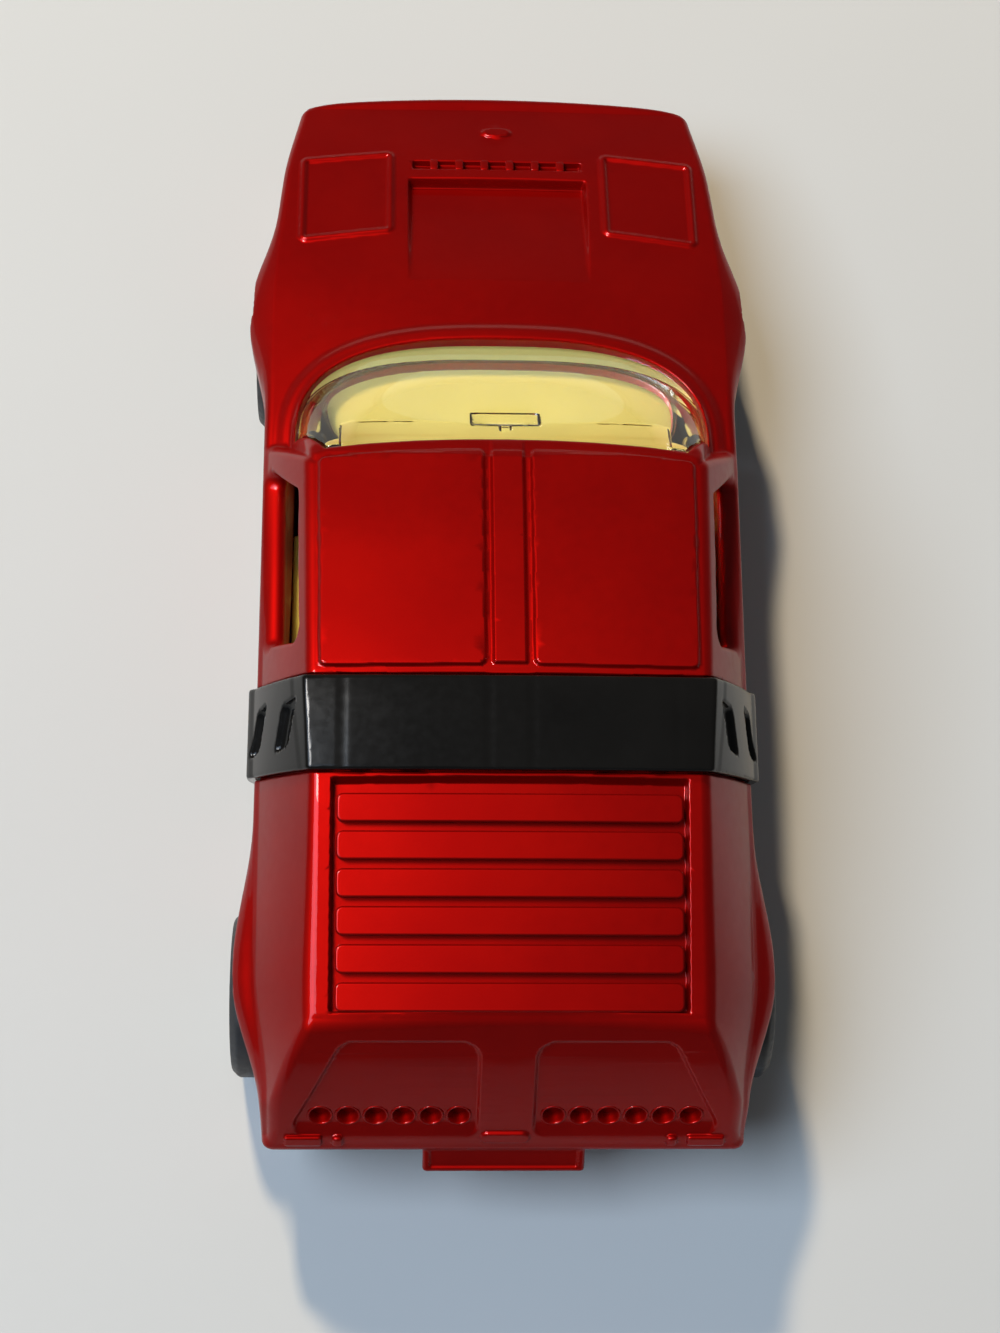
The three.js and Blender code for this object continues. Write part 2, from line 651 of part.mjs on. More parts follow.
function vents() {
  const y = noseY - VENT_SETBACK;
  return Array.from({ length: VENT_COUNT }, (_, i) => {
    const x = (i - (VENT_COUNT - 1) / 2) * VENT_PITCH;
    return block(x - VENT_LENGTH / 2, x + VENT_LENGTH / 2, y - VENT_WIDTH / 2, y + VENT_WIDTH / 2, SILL_Z, FAR);
  });
}

// The bonnet scoop: a short steep wall at the front, and a floor that runs out at the bonnet behind
function scoop() {
  const frontY = noseY - SCOOP_SETBACK;
  const rearY = frontY - SCOOP_LENGTH;
  const top = (y) => shoulderZ(y) + crownHeight(y);
  const floorY = frontY - SCOOP_WALL_RUN;
  const outline = [
    [frontY, top(frontY)], [floorY, top(floorY) - SCOOP_DEPTH], [rearY, top(rearY)], [rearY, FAR], [frontY, FAR],
  ];
  return sidePrism(new THREE.Shape(outline.map(([y, z]) => new THREE.Vector2(y, z))), -SCOOP_HALF, SCOOP_HALF);
}

function roofPanel(side) {
  const front = roofFrontY - ROOF_PANEL_FRONT;
  const rear = roofRearY + ROOF_PANEL_REAR;
  const [low, high] = side > 0 ? [ROOF_BAR_HALF, ROOF_PANEL_HALF] : [-ROOF_PANEL_HALF, -ROOF_BAR_HALF];
  const outline = [[low, rear], [high, rear], [high, front], [low, front]];
  return prism(roundedShape(outline, ROOF_PANEL_CORNER), BELT_Z, FAR);
}

function louvreGrooves() {
  const front = deckFrontY - LOUVRE_MARGIN;
  const rear = deckRearY + LOUVRE_MARGIN;
  const pitch = (front - rear) / LOUVRE_COUNT;
  const across = Array.from({ length: LOUVRE_COUNT + 1 }, (_, i) => {
    const y = front - i * pitch;
    return block(-LOUVRE_HALF, LOUVRE_HALF, y - LOUVRE_GROOVE / 2, y + LOUVRE_GROOVE / 2, BELT_Z, FAR);
  });
  const along = bothSides((side) => {
    const x = side * LOUVRE_HALF;
    return block(x - LOUVRE_GROOVE / 2, x + LOUVRE_GROOVE / 2, rear, front, BELT_Z, FAR);
  });
  return [...across.slice(1, -1), ...along];
}

// A point on the tail's middle line, by its distance behind the deck's rear edge, and how far the tail leans from upright
const tailSlope = new THREE.Vector2(-TAIL_RUN, LIP_Z - DECK_REAR_Z);
const tailLean = Math.atan2(TAIL_RUN, DECK_REAR_Z - LIP_Z);
function tailPoint(run) {
  const rise = 1 - run / TAIL_RUN;
  const belly = 4 * rise * (1 - rise) * TAIL_BULGE;
  return new THREE.Vector2(deckRearY, DECK_REAR_Z).addScaledVector(tailSlope, 1 - rise).sub(new THREE.Vector2(belly, 0));
}

function onTail(geometry, x, run) {
  const { x: y, y: z } = tailPoint(run);
  return solid(geometry.translate(x, y, z));
}

// A panel's outline lies in the tail's own plane, so that its edges are square to the tail
function tailPanel(side) {
  const half = TAIL_PANEL_LENGTH / Math.sin(tailLean) / 2;
  const outline = [
    [side * TAIL_PANEL_INNER, -half], [side * TAIL_PANEL_BOTTOM_OUTER, -half],
    [side * TAIL_PANEL_TOP_OUTER, half], [side * TAIL_PANEL_INNER, half],
  ];
  const geometry = new THREE.ExtrudeGeometry(roundedShape(outline, TAIL_PANEL_CORNER), {
    depth: 2 * BODY_WALL, bevelEnabled: false, curveSegments: CORNER_STEPS,
  });
  geometry.translate(0, 0, -BODY_WALL).rotateX(Math.PI / 2 - tailLean);
  return onTail(geometry, 0, TAIL_PANEL_TOP + TAIL_PANEL_LENGTH / 2);
}

function lampPits() {
  const places = Array.from({ length: PIT_COUNT }, (_, i) => PIT_FIRST + i * PIT_PITCH);
  return places.flatMap((x) => bothSides((side) => {
    const pit = new THREE.CylinderGeometry(PIT_RADIUS, PIT_RADIUS, 2 * PIT_DEPTH, POST_STEPS).rotateX(-tailLean);
    return onTail(pit, side * x, PIT_LINE);
  }));
}

function tailBadge() {
  const oval = new THREE.CylinderGeometry(0.5, 0.5, 2 * BADGE_HEIGHT, POST_STEPS).scale(TAIL_BADGE_LENGTH, 1, BADGE_WIDTH);
  return onTail(oval.rotateX(-tailLean), 0, TAIL_BADGE_LINE);
}

// The blank plate hangs below the tail lip and leans back to the ground
function plate() {
  const lean = Math.acos(PLATE_REACH / PLATE_HEIGHT);
  const outline = [
    [-PLATE_HALF, -PLATE_HEIGHT], [PLATE_HALF, -PLATE_HEIGHT], [PLATE_HALF, PLATE_ROOT], [-PLATE_HALF, PLATE_ROOT],
  ];
  const geometry = new THREE.ExtrudeGeometry(roundedShape(outline, PLATE_CORNER), {
    depth: PLATE_THICKNESS, bevelEnabled: false, curveSegments: CORNER_STEPS,
  });
  return solid(geometry.translate(0, 0, -PLATE_THICKNESS).rotateX(lean).translate(0, tailY, LIP_Z - PLATE_DROP));
}

function reflector(side) {
  const x = side * REFLECTOR_X;
  const z = LIP_Z - REFLECTOR_DROP;
  return block(x - REFLECTOR_LENGTH / 2, x + REFLECTOR_LENGTH / 2, tailY - REFLECTOR_PROUD, tailY + BODY_WALL,
    z - REFLECTOR_HEIGHT / 2, z + REFLECTOR_HEIGHT / 2);
}

const leafTipZ = WHEEL_RADIUS + AXLE_RADIUS + SEAT_GAP / 2;
const leafSeatZ = leafTipZ + LEAF_DROP;
const postSeatZ = leafSeatZ + LEAF_THICKNESS + SEAT_GAP;
function rivetPost({ postY }, fillSkin) {
  const column = upright(POST_RADIUS, 0, postY, postSeatZ, FAR).intersect(fillSkin);
  const pin = upright(POST_PIN_RADIUS, 0, postY, baseBottomZ, postSeatZ + POST_RADIUS);
  const head = upright(RIVET_RADIUS, 0, postY, baseBottomZ, baseBottomZ + RIVET_HEIGHT);
  return join([column, pin, head]);
}

function makeBodyShell() {
  const outside = solid(upperBody(FINE)).add(solid(lowerBody(SILL_Z, FINE)));
  const hollow = upperSkin(-ROOF_WALL, COARSE).add(lowerSkin(-BODY_WALL, COARSE));
  const roofPads = bothSides((side) => pad(roofPanel(side), upperSkin(ROOF_PANEL_HEIGHT)));
  const lampBeads = bothSides((side) => pad(lampCover(side), lowerSkin(LAMP_BEAD_HEIGHT)));
  const badge = pad(prism(ovalShape(0, noseY - BADGE_SETBACK, BADGE_LENGTH, BADGE_WIDTH), SILL_Z + BODY_WALL, FAR),
    lowerSkin(BADGE_HEIGHT));
  const screenBead = pad(prism(beadOutline(), BELT_Z - BODY_WALL, FAR), lowerSkin(BEAD_HEIGHT));
  let shell = join([outside, screenBead, ...roofPads, ...lampBeads, badge, plate(), tailBadge(), ...bothSides(reflector)]);
  shell = cut(shell, [
    hollow,
    prism(screenOutline(APERTURE_RIM), CABIN_WAIST_Z, FAR),
    ...bothSides(windowCut),
    ...wheelWells,
    scoop(),
    recess(join(vents()), lowerSkin(-VENT_DEPTH)),
    recess(join(louvreGrooves()), upperSkin(-LOUVRE_DEPTH)),
    recess(join(bothSides(tailPanel)), wholeSkin(-TAIL_PANEL_DEPTH)),
    ...lampPits(),
    recess(bandSlab(SEAT_GAP), wholeSkin(-BAND_CHANNEL)),
    ...bothSides(hookNotch),
  ]);
  const fill = upperSkin(-ROOF_WALL / 2, COARSE).add(lowerSkin(-BODY_WALL / 2, COARSE));
  return join([shell, ...axles.map((axle) => rivetPost(axle, fill))]);
}

// The notch in each sill where the band's hook turns in over the base
function hookNotch(side) {
  const half = HOOK_LENGTH / 2 + SEAT_GAP;
  const inner = DOOR_HALF - BODY_WALL * 3;
  const [low, high] = side > 0 ? [inner, FAR] : [-FAR, -inner];
  return block(low, high, bandFootY - half, bandFootY + half, SILL_Z - SEAT_GAP, SILL_Z + HOOK_THICKNESS + SEAT_GAP);
}

// Roof band

function bandHook(side) {
  const outer = DOOR_HALF - SILL_TUCK;
  const inner = outer - HOOK_REACH;
  const [low, high] = side > 0 ? [inner, outer + BAND_PROUD] : [-outer - BAND_PROUD, -inner];
  return block(low, high, bandFootY - HOOK_LENGTH / 2, bandFootY + HOOK_LENGTH / 2, SILL_Z, SILL_Z + HOOK_THICKNESS);
}

function bandSlots(side) {
  const lean = Math.tan(degToRad(BAND_RAKE));
  return BAND_SLOT_DROPS.map((drop) => {
    const z = ROOF_REAR_Z - drop;
    const y = bandTopY + lean * drop;
    const length = BAND_SLOT_LENGTH / 2;
    const height = BAND_SLOT_HEIGHT / 2;
    const slant = Math.tan(degToRad(BAND_SLOT_SLANT)) * length;
    const outline = [
      [y - length, z - height - slant], [y + length, z - height + slant],
      [y + length, z + height + slant], [y - length, z + height - slant],
    ];
    const [low, high] = side > 0 ? [0, FAR] : [-FAR, 0];
    return sidePrism(roundedShape(outline, height / 2), low, high);
  });
}

function makeRoofBand() {
  const outer = wholeSkin(BAND_PROUD);
  const inner = wholeSkin(SEAT_GAP - BAND_CHANNEL);
  const above = block(-FAR, FAR, -FAR, FAR, SILL_Z, FAR);
  const strap = bandSlab(0).intersect(outer).intersect(above).subtract(inner);
  const band = join([strap, ...bothSides(bandHook)]);
  const slots = join(bothSides(bandSlots).flat());
  return band.subtract(recess(slots, wholeSkin(BAND_PROUD - BAND_SLOT_DEPTH)));
}

// Clear windscreen insert

function makeWindscreen() {
  const outline = (rim, low) => prism(screenOutline(rim), low, FAR);
  const opening = outline(APERTURE_RIM + SEAT_GAP, DASH_Z + SEAT_GAP);
  const glass = opening.intersect(upperSkin(-GLASS_SINK)).subtract(upperSkin(-GLASS_SINK - GLASS_WALL));
  const sheetTop = ROOF_WALL + ROOF_SHEET_DROP;
  const sheetFront = roofFrontY + HEADER_OVERLAP;
  const sheetArea = block(-ROOF_SHEET_HALF, ROOF_SHEET_HALF, sheetFront - ROOF_SHEET_LENGTH, sheetFront, BELT_Z, FAR);
  const lowered = (drop) => solid(upperBody(FINE)).translate([0, 0, -drop]);
  const sheet = sheetArea.intersect(lowered(sheetTop)).subtract(lowered(sheetTop + ROOF_SHEET));
  const header = opening.intersect(block(-ROOF_SHEET_HALF, ROOF_SHEET_HALF, roofFrontY, sheetFront, BELT_Z, FAR))
    .intersect(upperSkin(-GLASS_SINK)).subtract(lowered(sheetTop + ROOF_SHEET));
  const mirrorY = roofFrontY + MIRROR_SETBACK;
  const mirrorArea = block(-MIRROR_WIDTH / 2, MIRROR_WIDTH / 2, mirrorY - MIRROR_HEIGHT / 2, mirrorY + MIRROR_HEIGHT / 2, BELT_Z, FAR);
  const mirror = mirrorArea.intersect(upperSkin(-GLASS_SINK - GLASS_WALL / 2))
    .subtract(upperSkin(-GLASS_SINK - GLASS_WALL - MIRROR_DEPTH));
  return join([glass, sheet, header, mirror]);
}

// Cabin moulding

const cabinHalf = DOOR_HALF - SILL_TUCK - BODY_WALL - CABIN_GAP;
const cabinFloorZ = SILL_Z;
const seatFrontY = pillarY - SEAT_SETBACK;

function seat(x) {
  const floor = cabinFloorZ + CABIN_WALL / 2;
  const half = SEAT_WIDTH / 2;
  const top = floor + SEAT_HEIGHT;
  const lean = Math.tan(degToRad(SEAT_BACK_LEAN));
  const backFoot = seatFrontY - SEAT_LENGTH;
  const backTop = floor + SEAT_BACK_HEIGHT;
  const outline = [
    [seatFrontY, floor], [seatFrontY, top], [backFoot, top - SEAT_ROUND],
    [backFoot - lean * (backTop - top), backTop], [backFoot - lean * (backTop - top) - SEAT_BACK_THICKNESS, backTop],
    [backFoot - SEAT_BACK_THICKNESS, floor],
  ];
  return sidePrism(roundedShape(outline, SEAT_ROUND), x - half, x + half);
}

function steeringWheel() {
  const rim = new THREE.TorusGeometry(STEERING_RADIUS, STEERING_TUBE, 6, POST_STEPS);
  const spoke = new THREE.BoxGeometry(2 * STEERING_RADIUS, STEERING_TUBE * 2, STEERING_TUBE * 1.5);
  const column = new THREE.CylinderGeometry(STEERING_TUBE * 1.5, STEERING_TUBE * 1.5, DASH_LENGTH / 2, POST_STEPS / 2)
    .rotateX(Math.PI / 2).translate(0, 0, -DASH_LENGTH / 4);
  const lean = degToRad(90 - STEERING_LEAN);
  const place = (geometry) => solid(geometry.rotateX(lean).translate(SEAT_X, seatFrontY + STEERING_RADIUS, DASH_Z - STEERING_RADIUS / 2));
  return join([rim, spoke, column].map(place));
}

function makeCabin() {
  const rear = roofRearY - CABIN_TAIL;
  const front = pillarY + CABIN_WALL;
  const outer = block(-cabinHalf, cabinHalf, rear, front, cabinFloorZ, CABIN_WAIST_Z);
  const inner = block(-cabinHalf + CABIN_WALL, cabinHalf - CABIN_WALL, rear + CABIN_WALL, front - CABIN_WALL,
    cabinFloorZ + CABIN_WALL, FAR);
  const tub = outer.subtract(inner);
  const shelf = prism(screenOutline(APERTURE_RIM + CABIN_GAP), CABIN_WAIST_Z - CABIN_WALL, DASH_Z)
    .intersect(block(-FAR, FAR, pillarY - CABIN_WALL, FAR, cabinFloorZ, FAR));
  const seats = bothSides((side) => seat(side * SEAT_X));
  return join([tub, shelf, ...seats, steeringWheel()]);
}

// Base plate

function makeBasePlate() {
  const { lowerRows, columns } = COARSE;
  const plan = sheetBody(1, lowerRows, columns, (sheet, row, column) => {
    const point = lowerPoint(lowerSheets[0], row, lowerRows, acrossAt(column, columns));
    point.z = sheet === 0 ? baseBottomZ - BASE_INSET : baseTopZ + BASE_INSET;
    return point;
  });
  const floor = solid(offsetSkin(plan, -BASE_INSET));
  const slotFloorZ = WHEEL_RADIUS - AXLE_RADIUS - SLOT_GAP;
  const carrierTopZ = WHEEL_RADIUS + AXLE_TRAVEL + AXLE_RADIUS;
  const slotHalf = AXLE_RADIUS + SLOT_GAP;
  const carriers = axles.flatMap(({ y }) => bothSides((side) => {
    const x = side * CARRIER_X;
    const lug = block(x - CARRIER_THICKNESS / 2, x + CARRIER_THICKNESS / 2, y - CARRIER_LENGTH / 2, y + CARRIER_LENGTH / 2,
      baseBottomZ + BASE_WALL / 2, carrierTopZ);
    return lug.subtract(block(-FAR, FAR, y - slotHalf, y + slotHalf, slotFloorZ, FAR));
  }));
  const bosses = axles.map(({ postY }) => upright(POST_BOSS_RADIUS, 0, postY, baseBottomZ + BASE_WALL / 2, leafSeatZ - SEAT_GAP));
  const panEnds = [rearAxleY + FLOOR_PAN_MARGIN, frontAxleY - FLOOR_PAN_MARGIN];
  const panMiddle = (panEnds[0] + panEnds[1]) / 2;
  const pans = bothSides((side) => bothSides((end) => {
    const outer = end < 0 ? panEnds[0] : panEnds[1];
    const inner = panMiddle + end * FLOOR_PAN_SPLIT / 2;
    const outline = [
      [side * FLOOR_PAN_INNER, outer], [side * FLOOR_PAN_OUTER, outer], [side * FLOOR_PAN_OUTER, inner],
      [side * FLOOR_PAN_INNER, inner],
    ];
    return prism(roundedShape(outline, FLOOR_PAN_CORNER), -FAR, baseBottomZ + FLOOR_PAN_DEPTH);
  })).flat();
  const holes = axles.flatMap(({ postY }) => [
    upright(POST_PIN_RADIUS + POST_HOLE_GAP, 0, postY, -FAR, FAR),
    upright(RIVET_RADIUS + POST_HOLE_GAP, 0, postY, -FAR, baseBottomZ + RIVET_HEIGHT + POST_HOLE_GAP),
  ]);
  return cut(join([floor, ...carriers, ...bosses]), [...holes, ...pans, ...wheelWells]);
}

// Axles, springs and wheels

function makeAxle(track) {
  const half = track / 2 - HUB_SINK + AXLE_RUNNING_GAP + AXLE_HEAD;
  const neck = half - AXLE_HEAD;
  const profile = [
    [0, -half], [AXLE_HEAD_RADIUS, -half], [AXLE_HEAD_RADIUS, -neck], [AXLE_RADIUS, -neck],
    [AXLE_RADIUS, neck], [AXLE_HEAD_RADIUS, neck], [AXLE_HEAD_RADIUS, half], [0, half],
  ];
  const geometry = new THREE.LatheGeometry(profile.map(([r, x]) => new THREE.Vector2(r, x)), POST_STEPS);
  return solid(geometry.rotateZ(-Math.PI / 2));
}

// A leaf strip clamped flat under its rivet post, bent down to rest its free end on the axle
function makeLeaf({ y, postY }) {
  const way = Math.sign(y - postY);
  const underside = [
    [postY - way * POST_BOSS_RADIUS, leafSeatZ], [postY + way * POST_BOSS_RADIUS, leafSeatZ],
    [y, leafTipZ], [y + way * LEAF_OVERHANG, leafTipZ + LEAF_TIP_LIFT],
  ];
  const topside = underside.map(([along, z]) => [along, z + LEAF_THICKNESS]).reverse();
  const outline = new THREE.Shape([...underside, ...topside].map(([along, z]) => new THREE.Vector2(along, z)));
  const strip = sidePrism(outline, -LEAF_WIDTH / 2, LEAF_WIDTH / 2);
  return strip.subtract(upright(POST_PIN_RADIUS + POST_HOLE_GAP, 0, postY, -FAR, FAR));
}

// A wheel about X with its outer face at the origin, facing +X
function makeWheel() {
  const bore = AXLE_RADIUS + AXLE_RUNNING_GAP;
  const inside = -WHEEL_WIDTH;
  const discBack = -DISH_DEPTH - DISC_THICKNESS;
  const profile = [
    [bore, -HUB_SINK], [HUB_RADIUS, -HUB_SINK], [HUB_RADIUS, -DISH_DEPTH], [RIM_RADIUS - TREAD_ROUND / 2, -DISH_DEPTH],
    [RIM_RADIUS, 0], [WHEEL_RADIUS - TREAD_ROUND, 0], [WHEEL_RADIUS, -TREAD_ROUND],
    [WHEEL_RADIUS, inside + TREAD_ROUND], [WHEEL_RADIUS - TREAD_ROUND, inside], [RIM_RADIUS, inside],
    [RIM_RADIUS, discBack], [HUB_RADIUS, discBack], [HUB_RADIUS, inside], [bore, inside], [bore, -HUB_SINK],
  ];
  const turned = new THREE.LatheGeometry(profile.reverse().map(([r, x]) => new THREE.Vector2(r, x)), WHEEL_STEPS);
  const spokeStart = HUB_RADIUS - SPOKE_ROOT;
  const spokeEnd = RIM_RADIUS - SPOKE_ROOT;
  const spokes = Array.from({ length: SPOKE_COUNT }, (_, i) => {
    const depth = DISH_DEPTH + DISC_THICKNESS / 2 - SPOKE_SINK;
    const bar = new THREE.BoxGeometry(depth, SPOKE_WIDTH, spokeEnd - spokeStart);
    bar.translate(-SPOKE_SINK - depth / 2, 0, (spokeStart + spokeEnd) / 2);
    return solid(bar.rotateX((2 * Math.PI * i) / SPOKE_COUNT));
  });
  return join([solid(turned.rotateZ(-Math.PI / 2)), ...spokes]);
}

// Finishes
const finish = (color, roughness, metalness) => new THREE.MeshStandardMaterial({ color, roughness, metalness });
const bodyPaint = finish(0xb0101c, 0.3, 0.55);
const bareMetal = finish(0x8d9093, 0.45, 0.9);
const steelWire = finish(0xb9bcc0, 0.3, 1);
const clearPlastic = new THREE.MeshStandardMaterial({
  color: 0xe8eef0, roughness: 0.08, metalness: 0, transparent: true, opacity: 0.35,
});
const creamPlastic = finish(0xe6dc9c, 0.5, 0);
const blackPlastic = finish(0x0e0e10, 0.25, 0);
const tyrePlastic = finish(0x141416, 0.55, 0);

// The car
const car = new THREE.Group();
function place(name, body, material, position = [0, 0, 0], turn = 0) {
  const mesh = new THREE.Mesh(geometryOf(body), material);
  mesh.name = name;
  mesh.position.set(...position);
  mesh.rotation.z = turn;
  car.add(mesh);
}

place('body_shell', makeBodyShell(), bodyPaint);
place('base_plate', makeBasePlate(), bareMetal);
place('windscreen', makeWindscreen(), clearPlastic);
place('cabin_interior', makeCabin(), creamPlastic);
place('roof_band', makeRoofBand(), blackPlastic);
for (const axle of axles) {
  place(`${axle.name}_axle`, makeAxle(axle.track), steelWire, [0, axle.y, WHEEL_RADIUS]);
  place(`${axle.name}_axle_spring`, makeLeaf(axle), steelWire);
  place(`wheel_${axle.name}_left`, makeWheel(), tyrePlastic, [-axle.track / 2, axle.y, WHEEL_RADIUS], Math.PI);
  place(`wheel_${axle.name}_right`, makeWheel(), tyrePlastic, [axle.track / 2, axle.y, WHEEL_RADIUS]);
}

export default car;
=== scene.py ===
import math

import bmesh
import bpy
import numpy as np
from bpy.props import FloatProperty, FloatVectorProperty, IntProperty, PointerProperty
from mathutils import Euler, Matrix, Vector


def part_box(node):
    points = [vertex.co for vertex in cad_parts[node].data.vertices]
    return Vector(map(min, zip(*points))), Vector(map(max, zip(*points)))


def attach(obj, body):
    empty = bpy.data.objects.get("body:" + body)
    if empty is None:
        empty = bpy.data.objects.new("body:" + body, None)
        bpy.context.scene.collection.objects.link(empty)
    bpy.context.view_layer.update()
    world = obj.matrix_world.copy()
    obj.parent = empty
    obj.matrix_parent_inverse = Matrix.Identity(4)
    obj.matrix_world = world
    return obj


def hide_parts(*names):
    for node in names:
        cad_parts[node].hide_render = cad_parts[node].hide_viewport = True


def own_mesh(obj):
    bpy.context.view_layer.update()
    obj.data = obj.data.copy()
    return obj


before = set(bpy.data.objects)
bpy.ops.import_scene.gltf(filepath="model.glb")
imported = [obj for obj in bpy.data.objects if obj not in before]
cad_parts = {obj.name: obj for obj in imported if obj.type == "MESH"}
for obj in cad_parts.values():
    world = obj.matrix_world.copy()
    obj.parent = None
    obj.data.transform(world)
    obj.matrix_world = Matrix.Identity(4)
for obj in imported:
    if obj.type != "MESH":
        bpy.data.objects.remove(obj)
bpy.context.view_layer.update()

bl_info = {
    "name": "Die-cast toy coupe",
    "version": (1, 0, 0),
    "blender": (4, 5, 0),
    "location": "View3D > Sidebar > Toy Car",
    "description": "Builds the finished pieces of a die-cast toy coupe around its packed frame",
    "category": "Add Mesh",
}

MM = 0.001
CHASSIS = "chassis"


def middle(node, axis):
    """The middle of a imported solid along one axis, in millimetres."""
    low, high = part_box(node)
    return round((low[axis] + high[axis]) / 2 / MM, 3)


def width_over_wheels(end):
    return round(-2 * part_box(f"wheel_{end}_left")[0].x / MM, 3)


# Stations along the car in millimetres: the axles' from the frame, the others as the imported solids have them
NOSE_CORNER_Y = 36.9
LAMP_Y = 30.3
FRONT_AXLE_Y = middle("front_axle", 1)
COWL_Y = 16.2
PILLAR_Y = 8.0
ROOF_FRONT_Y = 5.1
ROOF_REAR_Y = -9.8
BAND_Y = -13.4
DECK_FRONT_Y = -17.1
REAR_AXLE_Y = middle("rear_axle", 1)
DECK_REAR_Y = -30.4
TAIL_SHOULDER_Y = -34.1
TAIL_CORNER_Y = -35.9
TAIL_Y = -36.7

# Heights in millimetres
BASE_BOTTOM_Z = 2.4
BASE_TOP_Z = 3.4
SILL_Z = 3.6
AXLE_Z = middle("front_axle", 2)
LEAF_SEAT_Z = 7.0
NOSE_TOP_Z = 8.6
LIP_Z = 8.8
DASH_Z = 11.8
BELT_Z = 13.2
COWL_Z = 13.35
DECK_REAR_Z = 17.4
ROOF_FRONT_Z = 20.1
ROOF_MIDDLE_Z = 20.87
ROOF_REAR_Z = 21.2

# Lower body: the flares over the wheels, and the bows and tucks of the nose and tail
FRONT_FLARE, FRONT_FLARE_REACH = 1.3, 8.5
REAR_FLARE, REAR_FLARE_REACH = 1.05, 10
NOSE_HALF, NOSE_BOW, NOSE_CORNER, NOSE_TUCK = 13.75, 0.6, 0.5, 3
TAIL_TUCK = 0.34
SHOULDER_ROUND, END_ROUND = 0.55, 0.4

# Greenhouse: the screen, the roof with its panels, the slat tray of the deck and the slope of the tail
SCREEN_HALF, SCREEN_DEPTH, SCREEN_POWER, SCREEN_BULGE, SCREEN_LEAN = 13.85, 8.2, 2.8, 0.5, 1.64
ROOF_FRONT_HALF, DECK_HALF = 12.3, 11.6
ROOF_BOW, ROOF_CROWN = 0.75, 0.45
BELT_STEP, SIDE_BULGE, SKIRT_TUCK = 0.2, 0.25, 0.3
PANEL_HEIGHT, RIB_HALF, PANEL_EDGE = 0.24, 1.12, 0.22
ROOF_PANEL = ((1.5, -9.75), (11.45, -9.75), (11.75, 5.0), (1.5, 5.0))
TRAY_HALF, TRAY_DEPTH, TRAY_EDGE = 10.72, 0.8, 0.2
TAIL_RUN = DECK_REAR_Y - TAIL_Y
TAIL_DROP = DECK_REAR_Z - LIP_Z
TAIL_LENGTH = math.hypot(TAIL_RUN, TAIL_DROP)
TAIL_SIN, TAIL_COS = TAIL_RUN / TAIL_LENGTH, TAIL_DROP / TAIL_LENGTH
TAIL_BULGE = 0.45
TAIL_PANEL_TOP, TAIL_PANEL_FOOT = 1.1 / TAIL_SIN, 5.85 / TAIL_SIN
TAIL_PANEL = ((1.7, TAIL_PANEL_TOP), (9.9, TAIL_PANEL_TOP), (13.5, TAIL_PANEL_FOOT), (1.7, TAIL_PANEL_FOOT))
TAIL_PANEL_DEPTH, TAIL_PANEL_CORNER, TAIL_PANEL_FADE = 0.3, 1.3, 1.6
PIT_COUNT, PIT_FIRST, PIT_PITCH, PIT_RADIUS, PIT_DEPTH = 6, 2.87, 1.675, 0.7, 0.6
PIT_RUN = 4.7

# Bonnet, windows and small raised forms
LAMP_OUTLINE = ((7.45, 32.4), (13.5, 31.7), (13.5, 24.6), (7.45, 25.3))
BEAD_HEIGHT, BEAD_HALF = 0.2, 0.38
BOSS_HEIGHT, BOSS_HALF = 0.2, 0.5
BONNET_BOSS_HALF, BONNET_BOSS_Y = 1.05, 34.6
TAIL_BOSS_FLAT, TAIL_BOSS_RUN = 1, 5.7 / TAIL_SIN
SCOOP_HALF, SCOOP_FRONT, SCOOP_REAR, SCOOP_DEPTH = 6.1, 30.2, 20.9, 0.85
VENT_Y, VENT_PITCH, VENT_HALF, VENT_DEPTH = 31.4, 1.77, 5.95, 0.6
SCREEN_LIP = 0.32
WINDOW_OUTLINE = ((6.5, 13.35), (2.65, 18.72), (-7.7, 19.37), (-5.9, 13.35))
PLATE_HALF, PLATE_RIM, PLATE_COS, PLATE_SIN = 5, 0.45, 0.684, 0.729

# Walls, gaps and edge roundings
SKIN_FILLET, CAST_ROUND = 0.35, 0.22
SIDE_WALL, ROOF_WALL, SILL_LEDGE = 1.4, 1.3, 0.8
APERTURE_RIM, GLASS_RIM, SHELF_RIM = 0.35, 0.5, 0.65
PANE_FRONT, PANE_BACK = 0.22, 1.15
SHEET_HALF, SHEET_DROP, SHEET_THICKNESS = 10.4, 1.85, 0.6
BAND_LEAN = math.tan(math.radians(13))
BAND_HALF, BAND_PROUD, BAND_CHANNEL, BAND_GAP, BAND_SEAT = 2.95, 0.5, 0.5, 0.12, 0.22
BAND_LINES = (10.05, 1.3)
BAND_SLOT_DROPS, BAND_SLOT_SLANT = (2.75, 7.1), 0.58

# Running gear, posts and base
FRONT_TRACK, REAR_TRACK = width_over_wheels("front"), width_over_wheels("rear")
AXLE_RADIUS, HALF_TRAVEL = 0.5, 0.25
WELL_CLEARANCE, WELL_INNER = 0.3, 12.2
LEAF_HALF, LEAF_THICKNESS = 2.5, 0.35
LEAF_TOP_Z = LEAF_SEAT_Z + LEAF_THICKNESS
RIVET_YS = (27.5, -31.5)
POST_RADIUS, POST_SEAT_Z, POST_BOSS_RADIUS = 1.9, LEAF_TOP_Z + 0.2, 2.8
CARRIER_X, CARRIER_HALF, CARRIER_REACH, SLOT_GAP = 9.6, 0.8, 2.5, 0.1
PAN_INNER, PAN_OUTER, PAN_TOP_Z = 1.7, 11.5, 2.85
AXLES = (("front", FRONT_AXLE_Y, FRONT_TRACK, RIVET_YS[0]), ("rear", REAR_AXLE_Y, REAR_TRACK, RIVET_YS[1]))

